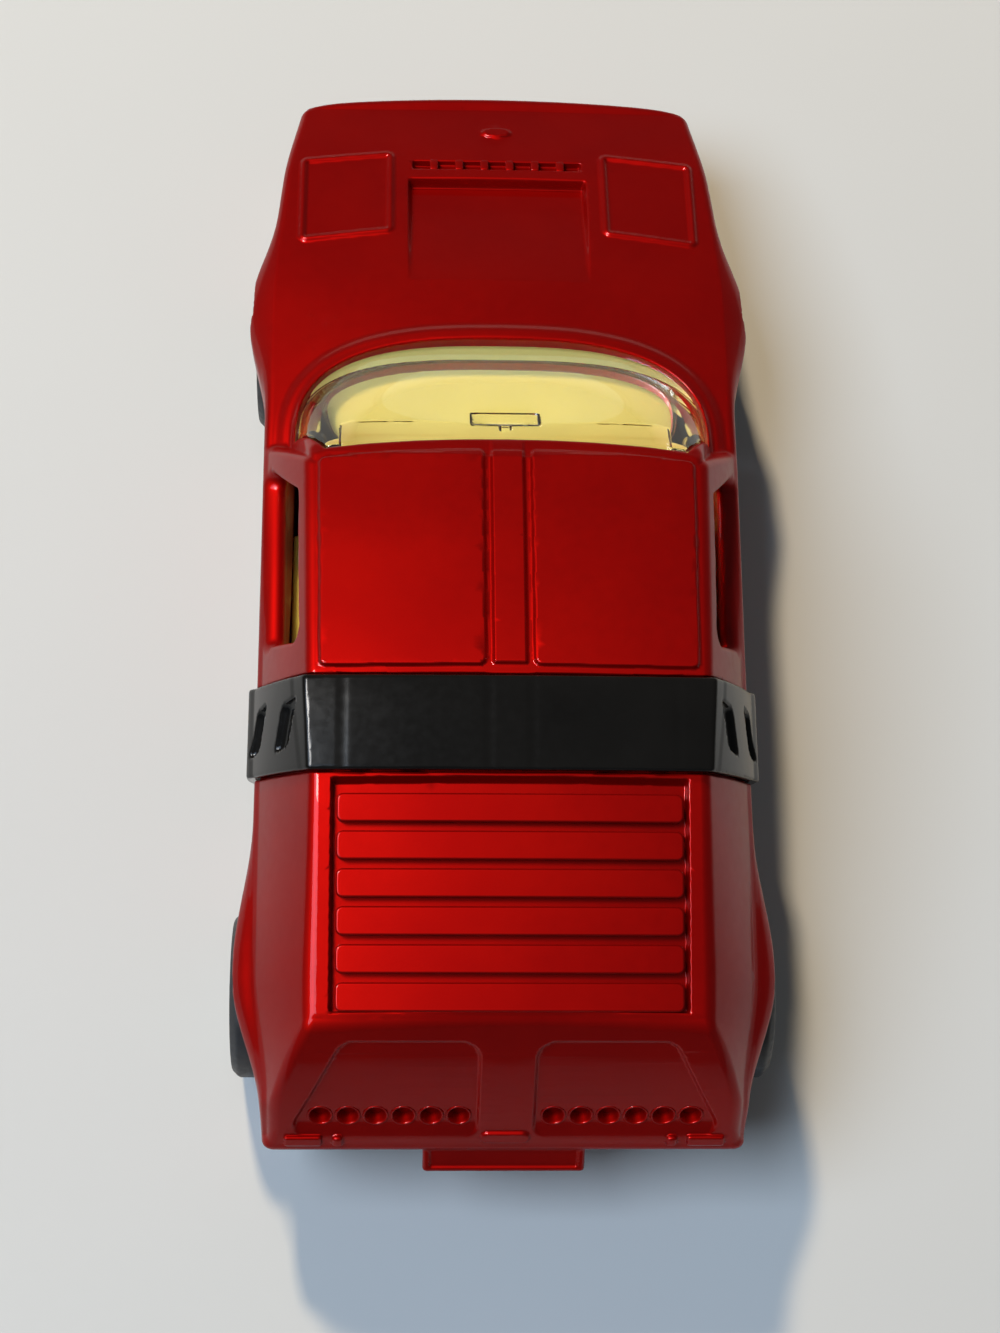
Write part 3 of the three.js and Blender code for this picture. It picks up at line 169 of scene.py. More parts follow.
# Cabin
TUB_HALF, TUB_REAR, TUB_FRONT, TUB_TOP_Z, TUB_WALL = 13.0, -11.5, 8.8, 11.4, 0.9
SEAT_X, SEAT_HALF = 6.1, 4.15
SEAT_PROFILE = ((3.5, 4), (3.5, 7.6), (-4.8, 6.9), (-7.0, 14.0), (-9.1, 14.0), (-7.2, 4))
RIB_PITCH, RIB_HEIGHT = 1.6, 0.16
CARD_INNER, CARD_TOP_Z, LEDGE_OUTER, LEDGE_TOP_Z = 10.9, 13.0, 13.65, 10.4
STEERING_PLACE, STEERING_TILT = (SEAT_X, 3.9, 11.2), -25

# Repeated pieces, and turned sections as places along the axis with their radius
SLAT_LENGTH, SLAT_THICKNESS, SLAT_SINK = 20.7, 0.96, 0.44
VENT_BAR, BONNET_FALL, BONNET_HALF = (0.58, 0.95, 0.6), 0.24, 14.7
PIT_SECTION = ((-0.72, 0.02), (-0.7, 0.44), (-0.1, 0.6), (0.07, 0.66), (0.07, 0.78), (-0.3, 0.78),
               (-0.9, 0.5), (-0.9, 0.02))
COLUMN_SECTION = ((-2.0, 0.02), (-2.0, 0.4), (0, 0.4), (0.12, 0.6), (0.3, 0.5), (0.34, 0.02))
RIVET_SECTION = ((0, 0.02), (0, 2.0), (0.32, 1.95), (0.6, 1.4), (0.6, 0.8), (0.3, 0.5), (0.28, 0.02))
RIVET_Z = 2.42
WHEEL_SECTION = ((-0.6, 0.58), (-0.6, 1.25), (-1.0, 1.3), (-1.0, 3.1), (-0.15, 3.35), (-0.15, 3.6),
                 (0, 3.75), (0, 4.75), (-0.45, 5.2), (-1.5, 5.2), (-1.56, 5.08), (-1.7, 5.08),
                 (-1.76, 5.2), (-3.15, 5.2), (-3.6, 4.75), (-3.6, 3.5), (-1.9, 3.4), (-1.9, 1.25),
                 (-3.6, 1.2), (-3.6, 0.58))

# Sample spacing of the thin pieces, the angle of edges that stay sharp and the span of a noise that is used
FINE_STEP = 0.16
SHARP_ANGLE = math.radians(40)
NOISE_SPAN = {"From Min": 0.3, "From Max": 0.7}

# Camera of the photograph, whose focal length and height are in pixels
PHOTO_FOCAL, PHOTO_HEIGHT = 2408, 1333
SENSOR = 36
CAMERA_PLACE, CAMERA_TURN = (-7.4025, -58.7265, 157.334), (19.738, -2.679, -0.4637)


# Curves and signed fields, which are negative inside a solid and read in millimetres near its surface

def guide(*stations):
    """A smooth curve through a few stations that never overshoots them, read as a value against position."""
    knots = np.array(sorted(stations), float)
    at, value = knots[:, 0], knots[:, 1]
    slope = np.diff(value) / np.diff(at)
    before, after = slope[:-1], slope[1:]
    same_way = before * after > 0
    inner = np.where(same_way, 2 * before * after / np.where(same_way, before + after, 1), 0)
    tangent = np.concatenate([slope[:1], inner, slope[-1:]])

    def read(position):
        place = np.clip(position, at[0], at[-1])
        i = np.clip(np.searchsorted(at, place) - 1, 0, len(at) - 2)
        span = at[i + 1] - at[i]
        t = (place - at[i]) / span
        blend = t * t * (3 - 2 * t)
        swing = span * t * (1 - t) * ((1 - t) * tangent[i] - t * tangent[i + 1])
        return (value[i] + (value[i + 1] - value[i]) * blend + swing).astype(np.float32)

    return read


def lerp(a, b, t):
    return a + (b - a) * t


def hump(t):
    """A parabola, 0 at 0 and 1, and 1 halfway."""
    return 4 * t * (1 - t)


def ramp(t):
    """0 below 0, 1 above 1, and smooth between."""
    t = np.clip(t, 0, 1)
    return t * t * (3 - 2 * t)


def swell(distance):
    """A smooth hill, 1 at 0 and 0 from 1 outwards."""
    return np.where(np.abs(distance) < 1, (1 + np.cos(np.pi * np.clip(distance, -1, 1))) / 2, 0)


def reach(u, v):
    return np.sqrt(u ** 2 + v ** 2)


def both(a, b, radius):
    """What lies inside both solids, with the edge between them rounded."""
    u = np.maximum(radius + a, 0)
    v = np.maximum(radius + b, 0)
    return np.minimum(-radius, np.maximum(a, b)) + reach(u, v)


def either(a, b, radius):
    """What lies inside one solid or the other, with the corner between them filled by a fillet."""
    u = np.maximum(radius - a, 0)
    v = np.maximum(radius - b, 0)
    return np.maximum(radius, np.minimum(a, b)) - reach(u, v)


def less(a, b, radius):
    return both(a, -b, radius)


def polygon(u, v, outline, radius=0.0):
    """Signed distance in a plane to a closed outline. A radius rounds its corners inside the outline."""
    points = inset(outline, radius) if radius else np.array(outline, float)
    best = np.float32(1e9)
    odd = np.zeros(np.broadcast(u, v).shape, bool)
    for a, b in zip(points, np.roll(points, -1, axis=0)):
        edge = b - a
        along = np.clip(((u - a[0]) * edge[0] + (v - a[1]) * edge[1]) / (edge @ edge), 0, 1)
        best = np.minimum(best, (u - a[0] - edge[0] * along) ** 2 + (v - a[1] - edge[1] * along) ** 2)
        if a[1] != b[1]:
            crosses = ((a[1] > v) != (b[1] > v)) & (u < edge[0] * (v - a[1]) / edge[1] + a[0])
            odd = odd ^ crosses
    return np.where(odd, -np.sqrt(best), np.sqrt(best)).astype(np.float32) - np.float32(radius)


def inset(outline, distance):
    """A convex outline with every side moved in by a distance."""
    points = np.array(outline, float)
    ahead = np.roll(points, -1, axis=0)
    if np.sum(points[:, 0] * ahead[:, 1] - points[:, 1] * ahead[:, 0]) < 0:
        points = points[::-1]
    edges = np.roll(points, -1, axis=0) - points
    normals = np.stack([-edges[:, 1], edges[:, 0]], 1) / np.linalg.norm(edges, axis=1)[:, None]
    moved_in = []
    for i in range(len(points)):
        rows = np.stack([normals[i - 1], normals[i]])
        right = np.array([normals[i - 1] @ points[i], normals[i] @ points[i]]) + distance
        moved_in.append(np.linalg.solve(rows, right))
    return np.array(moved_in)


def slab(value, low, high):
    return np.maximum(low - value, value - high)


def brick(spans, radius):
    """A box from three fields, each negative between its two sides, with rounded edges."""
    outside = np.sqrt(sum(np.maximum(span + radius, 0) ** 2 for span in spans))
    inside = np.minimum(np.maximum(np.maximum(spans[0], spans[1]), spans[2]) + radius, 0)
    return outside + inside - radius


# The body's guide curves along the car, and those of its side, from 0 at the sill to 1 at the shoulder
shoulder_half = guide((NOSE_CORNER_Y, NOSE_HALF), (LAMP_Y, 14.9), (FRONT_AXLE_Y, 15.6), (PILLAR_Y, 15.6),
                      (REAR_AXLE_Y, 15.7), (TAIL_SHOULDER_Y, 14.8), (TAIL_CORNER_Y, 14.8))
shoulder_z = guide((NOSE_CORNER_Y, 8.425), (LAMP_Y, 10.2), (FRONT_AXLE_Y, 12.15), (PILLAR_Y, BELT_Z),
                   (BAND_Y, 12.4), (REAR_AXLE_Y, 12.4), (TAIL_SHOULDER_Y, 11.2), (TAIL_CORNER_Y, LIP_Z))
bonnet_crown = guide((NOSE_CORNER_Y, 0.175), (LAMP_Y, 0.35), (COWL_Y, 1.2), (ROOF_FRONT_Y, 0),
                     (TAIL_CORNER_Y, 0))
roof_z = guide((ROOF_FRONT_Y, ROOF_FRONT_Z), ((ROOF_FRONT_Y + ROOF_REAR_Y) / 2, ROOF_MIDDLE_Z),
               (ROOF_REAR_Y, ROOF_REAR_Z), (DECK_FRONT_Y, 20.3), (DECK_REAR_Y, DECK_REAR_Z))
roof_half = guide((ROOF_FRONT_Y - ROOF_BOW, ROOF_FRONT_HALF), (ROOF_REAR_Y, 11.95), (DECK_FRONT_Y, DECK_HALF),
                  (DECK_REAR_Y, DECK_HALF))
side_tuck = guide((0, -0.8), (0.4, -0.1), (0.7, 0.1), (1, 0))
side_hip = guide((0, 0.3), (0.45, 0.75), (0.86, 1), (1, 0.1))


def flare(y):
    front = FRONT_FLARE * swell((y - FRONT_AXLE_Y) / FRONT_FLARE_REACH)
    return front + REAR_FLARE * swell((y - REAR_AXLE_Y) / REAR_FLARE_REACH)


def screen_outline(margin):
    """The windscreen's opening in plan, grown by a margin."""
    turn = np.linspace(-math.pi / 2, math.pi / 2, 41)
    power = 2 / SCREEN_POWER
    across = np.sign(turn) * np.abs(np.sin(turn)) ** power * (SCREEN_HALF + margin)
    ahead = PILLAR_Y + np.abs(np.cos(turn)) ** power * (SCREEN_DEPTH + margin)
    front = list(zip(across, ahead))
    head_half = ROOF_FRONT_HALF + margin - GLASS_RIM
    head_y = ROOF_FRONT_Y - margin + GLASS_RIM
    rear = [(head_half * t, head_y - ROOF_BOW * t * t) for t in np.linspace(1, -1, 9)]
    return front + rear


SCREEN_FOOT = screen_outline(0)
APERTURE = screen_outline(-APERTURE_RIM)
GLASS_EDGE = screen_outline(-GLASS_RIM)
SHELF_EDGE = screen_outline(-SHELF_RIM)


# From here ax is the distance from the car's middle plane, and a factor below 1 evens out a sloping face

def boss(u, v):
    """Height of a small oval boss, at distances from its middle that are measured in its own half sizes."""
    return BOSS_HEIGHT * ramp((1.15 - reach(u, v)) / 0.4)


def bonnet_relief(ax, y):
    """Height that beads, boss, scoop, vent trough and the screen's lip add to the bonnet."""
    relief = BEAD_HEIGHT * swell(polygon(ax, y, LAMP_OUTLINE, 0.3) / BEAD_HALF)
    relief = relief + boss(ax / BONNET_BOSS_HALF, (y - BONNET_BOSS_Y) / BOSS_HALF)
    depth = SCOOP_DEPTH * np.clip((y - SCOOP_REAR) / (SCOOP_FRONT - SCOOP_REAR), 0, 1)
    scoop = ramp((SCOOP_FRONT - y) / 0.55) * ramp((SCOOP_HALF + 0.18 - ax) / 0.36)
    relief = relief - depth * scoop
    trough = ramp((0.42 - np.abs(y - VENT_Y)) / 0.16) * ramp((VENT_HALF - ax) / 0.16)
    relief = relief - VENT_DEPTH * trough
    edge = polygon(ax, y, SCREEN_FOOT)
    return relief + SCREEN_LIP * ramp((1.15 - edge) / 0.85)


def roof_relief(ax, y):
    """Height that the raised roof panels, the rib between them and the deck's slat tray add to the roof."""
    bowed = y + ROOF_BOW * (ax / ROOF_FRONT_HALF) ** 2 * ramp((y + 2) / 4)
    panel = ramp((0.14 - polygon(ax, bowed, ROOF_PANEL, 0.4)) / PANEL_EDGE)
    rib = ramp((RIB_HALF - ax) / PANEL_EDGE) * ramp((y - ROOF_REAR_Y) / PANEL_EDGE)
    ends = ramp((DECK_FRONT_Y + 0.6 - y) / TRAY_EDGE) * ramp((y - DECK_REAR_Y - 0.3) / TRAY_EDGE)
    tray = ramp((TRAY_HALF - ax) / TRAY_EDGE) * ends
    return PANEL_HEIGHT * np.maximum(panel, rib) - TRAY_DEPTH * tray


def rear_face(y, z):
    """The face under the tail's lip, tucked in towards the base."""
    return (TAIL_Y + TAIL_TUCK * np.maximum(LIP_Z - 0.25 - z, 0) - y) * 0.95


def lower_field(x, y, z):
    """The lower body without its floor: sides, crowned bonnet, nose and tail."""
    ax = np.abs(x)
    top = shoulder_z(y)
    rise = np.clip((z - SILL_Z) / (top - SILL_Z), 0, 1)
    half = shoulder_half(y) + side_tuck(rise) + flare(y) * side_hip(rise)
    across = np.minimum(ax / half, 1)
    lid = (z - top - bonnet_crown(y) * (1 - across ** 2) - bonnet_relief(ax, y)) * 0.97
    nose_rise = np.clip((z - SILL_Z) / (NOSE_TOP_Z - SILL_Z), 0, 1)
    below = np.maximum(0, 1 - nose_rise / 0.9) ** 1.4
    nose_across = np.minimum(ax / NOSE_HALF, 1)
    nose_y = y - NOSE_CORNER_Y - NOSE_BOW * (1 - nose_across ** 2) - NOSE_CORNER * (1 - nose_across ** 12)
    nose = (nose_y + NOSE_TUCK * below) * 0.85
    sides = both(ax - half, lid, SHOULDER_ROUND)
    return both(sides, np.maximum(nose, rear_face(y, z)), END_ROUND)


def tail_plane(y, z):
    """Distance out from the tail's slope, and distance down it from the deck's edge."""
    out = -(y - DECK_REAR_Y) * TAIL_COS + (z - DECK_REAR_Z) * TAIL_SIN
    down = -(y - DECK_REAR_Y) * TAIL_SIN - (z - DECK_REAR_Z) * TAIL_COS
    t = np.clip(down / TAIL_LENGTH, 0, 1)
    return out - TAIL_BULGE * TAIL_COS * hump(t), down


def screen_field(ax, y, z):
    """The windscreen's surface and the fronts of its pillars."""
    t = np.clip((z - COWL_Z) / (ROOF_FRONT_Z - COWL_Z), 0, 1)
    half = lerp(SCREEN_HALF, ROOF_FRONT_HALF, t)
    start = lerp(PILLAR_Y, ROOF_FRONT_Y - ROOF_BOW, t)
    depth = lerp(SCREEN_DEPTH, ROOF_BOW, t) + SCREEN_BULGE * hump(t)
    n = SCREEN_POWER
    u = ax / half + 1e-6
    v = np.maximum(y - start, 0) / depth + 1e-6
    r = (u ** n + v ** n) ** (1 / n)
    gu = (u / r) ** (n - 1) / half
    gv = (v / r) ** (n - 1) / depth
    size = reach(gu, gv)
    tilt = 1 / np.sqrt(1 + (SCREEN_LEAN * gv / size) ** 2)
    return np.minimum((r - 1) / size * tilt, (y - start) * 0.88)


def upper_field(x, y, z, proud=0.0):
    """The greenhouse, roof, deck and tail, or a skin that stands proud of them with crisper corners."""
    ax = np.abs(x)
    foot = shoulder_z(y) - BELT_STEP
    head = roof_z(y)
    t = np.clip((z - foot) / (head - foot), 0, 1)
    half = lerp(shoulder_half(y) - BELT_STEP, roof_half(y), t) + SIDE_BULGE * hump(t)
    half = half - SKIRT_TUCK * np.maximum(foot - z, 0)
    side = (ax - half) * 0.91
    roof = (z - head + ROOF_CROWN * (ax / roof_half(y)) ** 2 - roof_relief(ax, y)) * 0.98
    back, down = tail_plane(y, z)
    sunk = ramp((0.16 - polygon(ax, down, TAIL_PANEL, TAIL_PANEL_CORNER)) / 0.32)
    back = back + TAIL_PANEL_DEPTH * sunk * ramp((TAIL_PANEL_FOOT - down) / TAIL_PANEL_FADE)
    back = back - boss(np.maximum(ax - TAIL_BOSS_FLAT, 0) / BOSS_HALF, (down - TAIL_BOSS_RUN) / BOSS_HALF)
    walls = both(side - proud, roof - proud, 0.22 if proud else 0.4)
    ends = both(screen_field(ax, y, z), np.maximum(back, rear_face(y, z)), 0.2)
    return both(walls, ends, 0.5)


def wheel_wells(ax, y, z, gap):
    """The four wheel wells, with room for the axles' travel and a gap more."""
    radius = AXLE_Z + HALF_TRAVEL + WELL_CLEARANCE + gap
    height = z - AXLE_Z - HALF_TRAVEL
    front, rear = (reach(y - axle_y, height) - radius for axle_y in (FRONT_AXLE_Y, REAR_AXLE_Y))
    return np.maximum(np.minimum(front, rear), WELL_INNER - ax)


def outer_field(x, y, z):
    return either(lower_field(x, y, z), upper_field(x, y, z), SKIN_FILLET)


def band_slab(y, z, half):
    """The leaning slice of the car that the band covers."""
    lean = 1 / math.sqrt(1 + BAND_LEAN ** 2)
    return (np.abs(y - BAND_Y - BAND_LEAN * (ROOF_REAR_Z - z)) - half) * lean


def tail_trim(ax, y, z):
    """The two lamp bars and their studs at the foot of the tail, and the blank plate under it."""
    ahead = y - TAIL_Y
    above = z - LIP_Z + 0.3
    along = ahead * PLATE_COS + above * PLATE_SIN
    out = -ahead * PLATE_SIN + above * PLATE_COS
    plate = brick((ax - PLATE_HALF, slab(along, -1.9, 1), slab(out, -0.8, 0)), 0.22)
    blank = brick((ax - PLATE_HALF + PLATE_RIM, slab(along, -1.5, 0.1), -out - 0.14), 0.12)
    back, down = tail_plane(y, z)
    foot = slab(down, TAIL_LENGTH - 1.15, TAIL_LENGTH - 0.3)
    bar = brick((np.abs(ax - 12.3) - 1.15, foot, slab(back, -0.8, 0.24)), 0.14)
    stud = brick((np.abs(ax - 10.2) - 0.32, foot, slab(back, -0.8, 0.3)), 0.2)
    return np.minimum(bar, stud), less(plate, blank, 0.08)


def body_field(x, y, z):
    """The cast shell with its openings, recesses, posts, plate and tail studs."""
    ax = np.abs(x)
    lower = lower_field(x, y, z)
    upper = upper_field(x, y, z)
    outer = either(lower, upper, SKIN_FILLET)
    ledge = SILL_LEDGE * ramp((z - 11.2) / 0.9) * ramp((7.5 - np.abs(y + 0.5)) / 1.5)
    inner = either(lower + SIDE_WALL + ledge, upper + ROOF_WALL, 0.5)
    bars, plate = tail_trim(ax, y, z)
    solid = either(np.minimum(outer, bars), plate, 0.15)
    shell = less(both(solid, SILL_Z - z, 0.2), inner, 0.2)
    for post_y in RIVET_YS:
        post = both(reach(ax, y - post_y) - POST_RADIUS, POST_SEAT_Z - z, 0.15)
        shell = either(shell, np.maximum(post, outer + 0.6), 0.3)
    opening = np.maximum(polygon(ax, y, APERTURE), 11.4 - z)
    shell = less(shell, opening, CAST_ROUND)
    # A window's lower edge is rounder than its other edges
    window = np.maximum(polygon(y, z, WINDOW_OUTLINE, 0.8), 10.6 - ax)
    shell = lerp(less(shell, window, 0.28), less(shell, window, 0.65), ramp((14.6 - z) / 0.8))
    shell = less(shell, wheel_wells(ax, y, z, 0), CAST_ROUND)
    channel = np.maximum(band_slab(y, z, BAND_HALF + BAND_GAP), -(outer + BAND_CHANNEL))
    shell = less(shell, channel, 0.1)
    back, down = tail_plane(y, z)
    nearest = PIT_FIRST + PIT_PITCH * np.clip(np.round((ax - PIT_FIRST) / PIT_PITCH), 0, PIT_COUNT - 1)
    pit = reach(ax - nearest, down - PIT_RUN / TAIL_SIN) - PIT_RADIUS
    return less(shell, np.maximum(pit, -(back + PIT_DEPTH + 0.3)), 0.08)


def band_field(x, y, z):
    """The band over the roof and down both sides, with its blind slots, fine lines and hooks."""
    ax = np.abs(x)
    outer = outer_field(x, y, z)
    skin = either(lower_field(x, y, z) - BAND_PROUD, upper_field(x, y, z, BAND_PROUD), SKIN_FILLET)
    line = np.minimum(*(np.abs(ax - place) for place in BAND_LINES))
    relief = -0.018 * swell(line / 0.5) - 0.015 * np.maximum(ax - BAND_LINES[0], 0)
    strap = both(band_slab(y, z, BAND_HALF), skin - relief * ramp((z - 19.5) / 0.5), 0.2)
    strap = less(strap, outer + BAND_SEAT, 0.1)
    for drop in BAND_SLOT_DROPS:
        height = z - (ROOF_REAR_Z - drop)
        along = y - (BAND_Y + BAND_LEAN * drop)
        rise = np.abs(height - BAND_SLOT_SLANT * along)
        hole = brick((np.abs(along) - 1.3, rise - 0.92, -(outer - 0.02)), 0.4)
        strap = less(strap, np.maximum(hole, 11 - ax), 0.14)
    foot_y = BAND_Y + BAND_LEAN * (ROOF_REAR_Z - SILL_Z)
    hook = brick((slab(ax, 13.4, 15.3), np.abs(y - foot_y) - 2, slab(z, SILL_Z, SILL_Z + 0.6)), 0.15)
    return both(either(strap, hook, 0.2), SILL_Z - z, 0.1)


def glass_field(x, y, z):
    """The clear screen with its thick rim, the sheet behind it under the roof, and the moulded mirror."""
    ax = np.abs(x)
    head = roof_z(y) - ROOF_CROWN * (ax / roof_half(y)) ** 2
    skin = np.maximum(screen_field(ax, y, z), z - head)
    edge = polygon(ax, y, GLASS_EDGE)
    pane = both(both(edge, skin + PANE_FRONT, 0.2), 12.1 - z, 0.15)
    pane = less(pane, skin + PANE_BACK, 0.15)
    sheet_top = z - head + SHEET_DROP
    sheet_foot = -sheet_top - SHEET_THICKNESS
    sheet = brick((ax - SHEET_HALF, slab(y, -5.3, 6.4), np.maximum(sheet_top, sheet_foot)), 0.2)
    front = np.maximum(5.2 - y, (y - 6.25 + 0.6 * (z - head)) * 0.86)
    header = brick((ax - SHEET_HALF, front, np.maximum(skin + 0.24, sheet_foot)), 0.12)
    mirror = brick((ax - 2.2, slab(y, 7.4, 8.5), slab(skin, -1.9, -0.9)), 0.12)
    stem = brick((ax - 0.35, slab(y, 5.6, 7.6), slab(skin, -1.5, -0.9)), 0.12)
    whole = np.minimum(np.minimum(pane, mirror), np.minimum(header, stem))
    return either(whole, sheet, 0.2)


def cabin_field(x, y, z):
    """The cabin moulding: tub, dash shelf, side cards with their ledges, tunnel and two ribbed seats."""
    ax = np.abs(x)
    tub = brick((ax - TUB_HALF, slab(y, TUB_REAR, TUB_FRONT), slab(z, SILL_Z + 0.05, TUB_TOP_Z)), 0.3)
    well = brick((ax - TUB_HALF + TUB_WALL, slab(y, -10.7, TUB_FRONT - TUB_WALL), slab(z, 4.5, 30)), 0.4)
    plan = np.minimum(polygon(ax, y, SHELF_EDGE), np.maximum(ax - 12.6, slab(y, ROOF_FRONT_Y, TUB_FRONT)))
    shelf = both(plan, slab(z, 10.5, DASH_Z), 0.3)
    body = either(less(tub, well, 0.25), shelf, 0.4)
    seat_x = np.abs(ax - SEAT_X)
    ribs = RIB_HEIGHT * np.cos((ax - SEAT_X) * 2 * math.pi / RIB_PITCH) * ramp((3.3 - seat_x) / 0.4)
    seat = both(polygon(y, z, SEAT_PROFILE) - 0.12 - ribs, seat_x - SEAT_HALF, 0.6)
    tunnel = brick((ax - 1.1, slab(y, -6, 7), slab(z, 4, 7.2)), 0.5)
    card = brick((slab(ax, CARD_INNER, TUB_HALF), slab(y, TUB_REAR, 3.4), slab(z, 4, CARD_TOP_Z)), 0.3)
    ledge_x = slab(ax, CARD_INNER, LEDGE_OUTER)
    ledge = brick((ledge_x, slab(y, TUB_REAR, 3.1), slab(z, 9.0, LEDGE_TOP_Z)), 0.2)
    return either(either(body, np.minimum(np.minimum(seat, card), ledge), 0.2), tunnel, 0.3)


def base_field(x, y, z):
    """The base with its wheel notches, recessed floor pans, slotted axle carriers and post bosses."""
    ax = np.abs(x)
    plan = lower_field(x, y, np.full_like(z, SILL_Z + 0.02)) + 0.35
    plate = both(plan, slab(z, BASE_BOTTOM_Z, BASE_TOP_Z), 0.18)
    plate = less(plate, wheel_wells(ax, y, z, 0.1), 0.15)
    pan_x = slab(ax, PAN_INNER, PAN_OUTER)
    rear_pan = brick((pan_x, slab(y, -18.9, -4.5), z - PAN_TOP_Z), 0.35)
    front_pan = brick((pan_x, slab(y, -3.0, 11.4), z - PAN_TOP_Z), 0.35)
    plate = less(plate, np.minimum(rear_pan, front_pan), 0.12)
    half_slot = AXLE_RADIUS + SLOT_GAP
    for _, axle_y, _, post_y in AXLES:
        along = np.abs(y - axle_y)
        across = np.abs(ax - CARRIER_X) - CARRIER_HALF
        lug = brick((across, along - CARRIER_REACH, slab(z, 2.9, AXLE_Z + 1)), 0.15)
        slot = np.maximum(along - half_slot, AXLE_Z - half_slot - z)
        post_boss = both(reach(ax, y - post_y) - POST_BOSS_RADIUS, slab(z, 2.9, LEAF_SEAT_Z - 0.2), 0.15)
        plate = either(plate, np.minimum(less(lug, slot, 0.1), post_boss), 0.25)
    return plate


# Meshes from fields

def lattice(low, high, step):
    """Three axes of sample places that fill a box."""
    axes = [np.arange(a, b + step, step, dtype=np.float32) for a, b in zip(low, high)]
    return axes[0][:, None, None], axes[1][None, :, None], axes[2][None, None, :]


def quads_across(inside, index, axis):
    """One quad for each lattice edge along an axis that the surface crosses."""
    first = np.moveaxis(inside, axis, 0)
    cells = np.moveaxis(index, axis, 0)
    start, end = first[:-1, 1:-1, 1:-1], first[1:, 1:-1, 1:-1]
    crossed = start != end
    corners = [cells[:, :-1, :-1], cells[:, 1:, :-1], cells[:, 1:, 1:], cells[:, :-1, 1:]]
    quads = np.stack([corner[crossed] for corner in corners], 1)
    flip = ~start[crossed]
    if axis == 1:
        flip = ~flip
    quads[flip] = quads[flip][:, ::-1]
    return quads


def net(field, low, high, step):
    """Points and quads of a field's surface inside a box."""
    x, y, z = lattice(low, high, step)
    values = np.ascontiguousarray(np.broadcast_to(field(x, y, z), (x.size, y.size, z.size)), np.float32)
    inside = values < 0
    shape = tuple(n - 1 for n in values.shape)
    corners = [(i, j, k) for i in (0, 1) for j in (0, 1) for k in (0, 1)]

    def at(array, corner):
        return array[tuple(slice(c, c + n) for c, n in zip(corner, shape))]

    count = sum(at(inside, corner).astype(np.int8) for corner in corners)
    cells = (count > 0) & (count < 8)
    index = np.full(shape, -1, np.int32)
    places = np.argwhere(cells)
    index[cells] = np.arange(len(places))
    total = np.zeros((len(places), 3), np.float32)
    hits = np.zeros((len(places), 1), np.float32)
    for a in corners:
        for axis in range(3):
            if a[axis]:
                continue
            b = tuple(1 if i == axis else c for i, c in enumerate(a))
            va, vb = at(values, a)[cells], at(values, b)[cells]
            crossed = (va < 0) != (vb < 0)
            t = np.where(crossed, va / np.where(crossed, va - vb, 1), 0)
            point = np.tile(np.array(a, np.float32), (len(places), 1))
            point[:, axis] = t
            total += point * crossed[:, None]
            hits += crossed[:, None]
    points = (places + total / np.maximum(hits, 1)) * step + np.array(low, np.float32)
    quads = np.concatenate([quads_across(inside, index, axis) for axis in range(3)])
    return points.astype(np.float32), quads


def slope_of(field, points, nudge=0.02):
    """The field's value and its gradient at scattered points."""
    x, y, z = points.T.astype(np.float32)
    value = field(x, y, z)
    gradient = np.stack([
        field(x + nudge, y, z) - field(x - nudge, y, z),
        field(x, y + nudge, z) - field(x, y - nudge, z),
        field(x, y, z + nudge) - field(x, y, z - nudge),
    ], 1) / (2 * nudge)
    return value, gradient


def settle(field, points, most, rounds):
    """Moves points onto a field's surface, each by a limited distance."""
    places = points.copy()
    for _ in range(rounds):
        value, gradient = slope_of(field, places)
        size = np.maximum(np.sum(gradient * gradient, 1), 0.05)
        shift = -gradient * (value / size)[:, None]
        length = np.linalg.norm(shift, axis=1, keepdims=True)
        places += shift * np.minimum(1, most / np.maximum(length, 1e-9))
    return places


def new_object(name, mesh):
    piece = bpy.data.objects.new(name, mesh)
    bpy.context.scene.collection.objects.link(piece)
    return piece


def mesh_of(name, points, faces):
    mesh = bpy.data.meshes.new(name)
    mesh.from_pydata([tuple(p) for p in points], [], [tuple(f) for f in faces])
    mesh.update()
    return mesh


def plain_copy(piece):
    """Turns a piece with modifiers into a plain mesh."""
    graph = bpy.context.evaluated_depsgraph_get()
    mesh = bpy.data.meshes.new_from_object(piece.evaluated_get(graph))
    piece.modifiers.clear()
    old = piece.data
    piece.data = mesh
    mesh.name = piece.name
    if isinstance(old, bpy.types.Mesh):
        bpy.data.meshes.remove(old)
    return piece


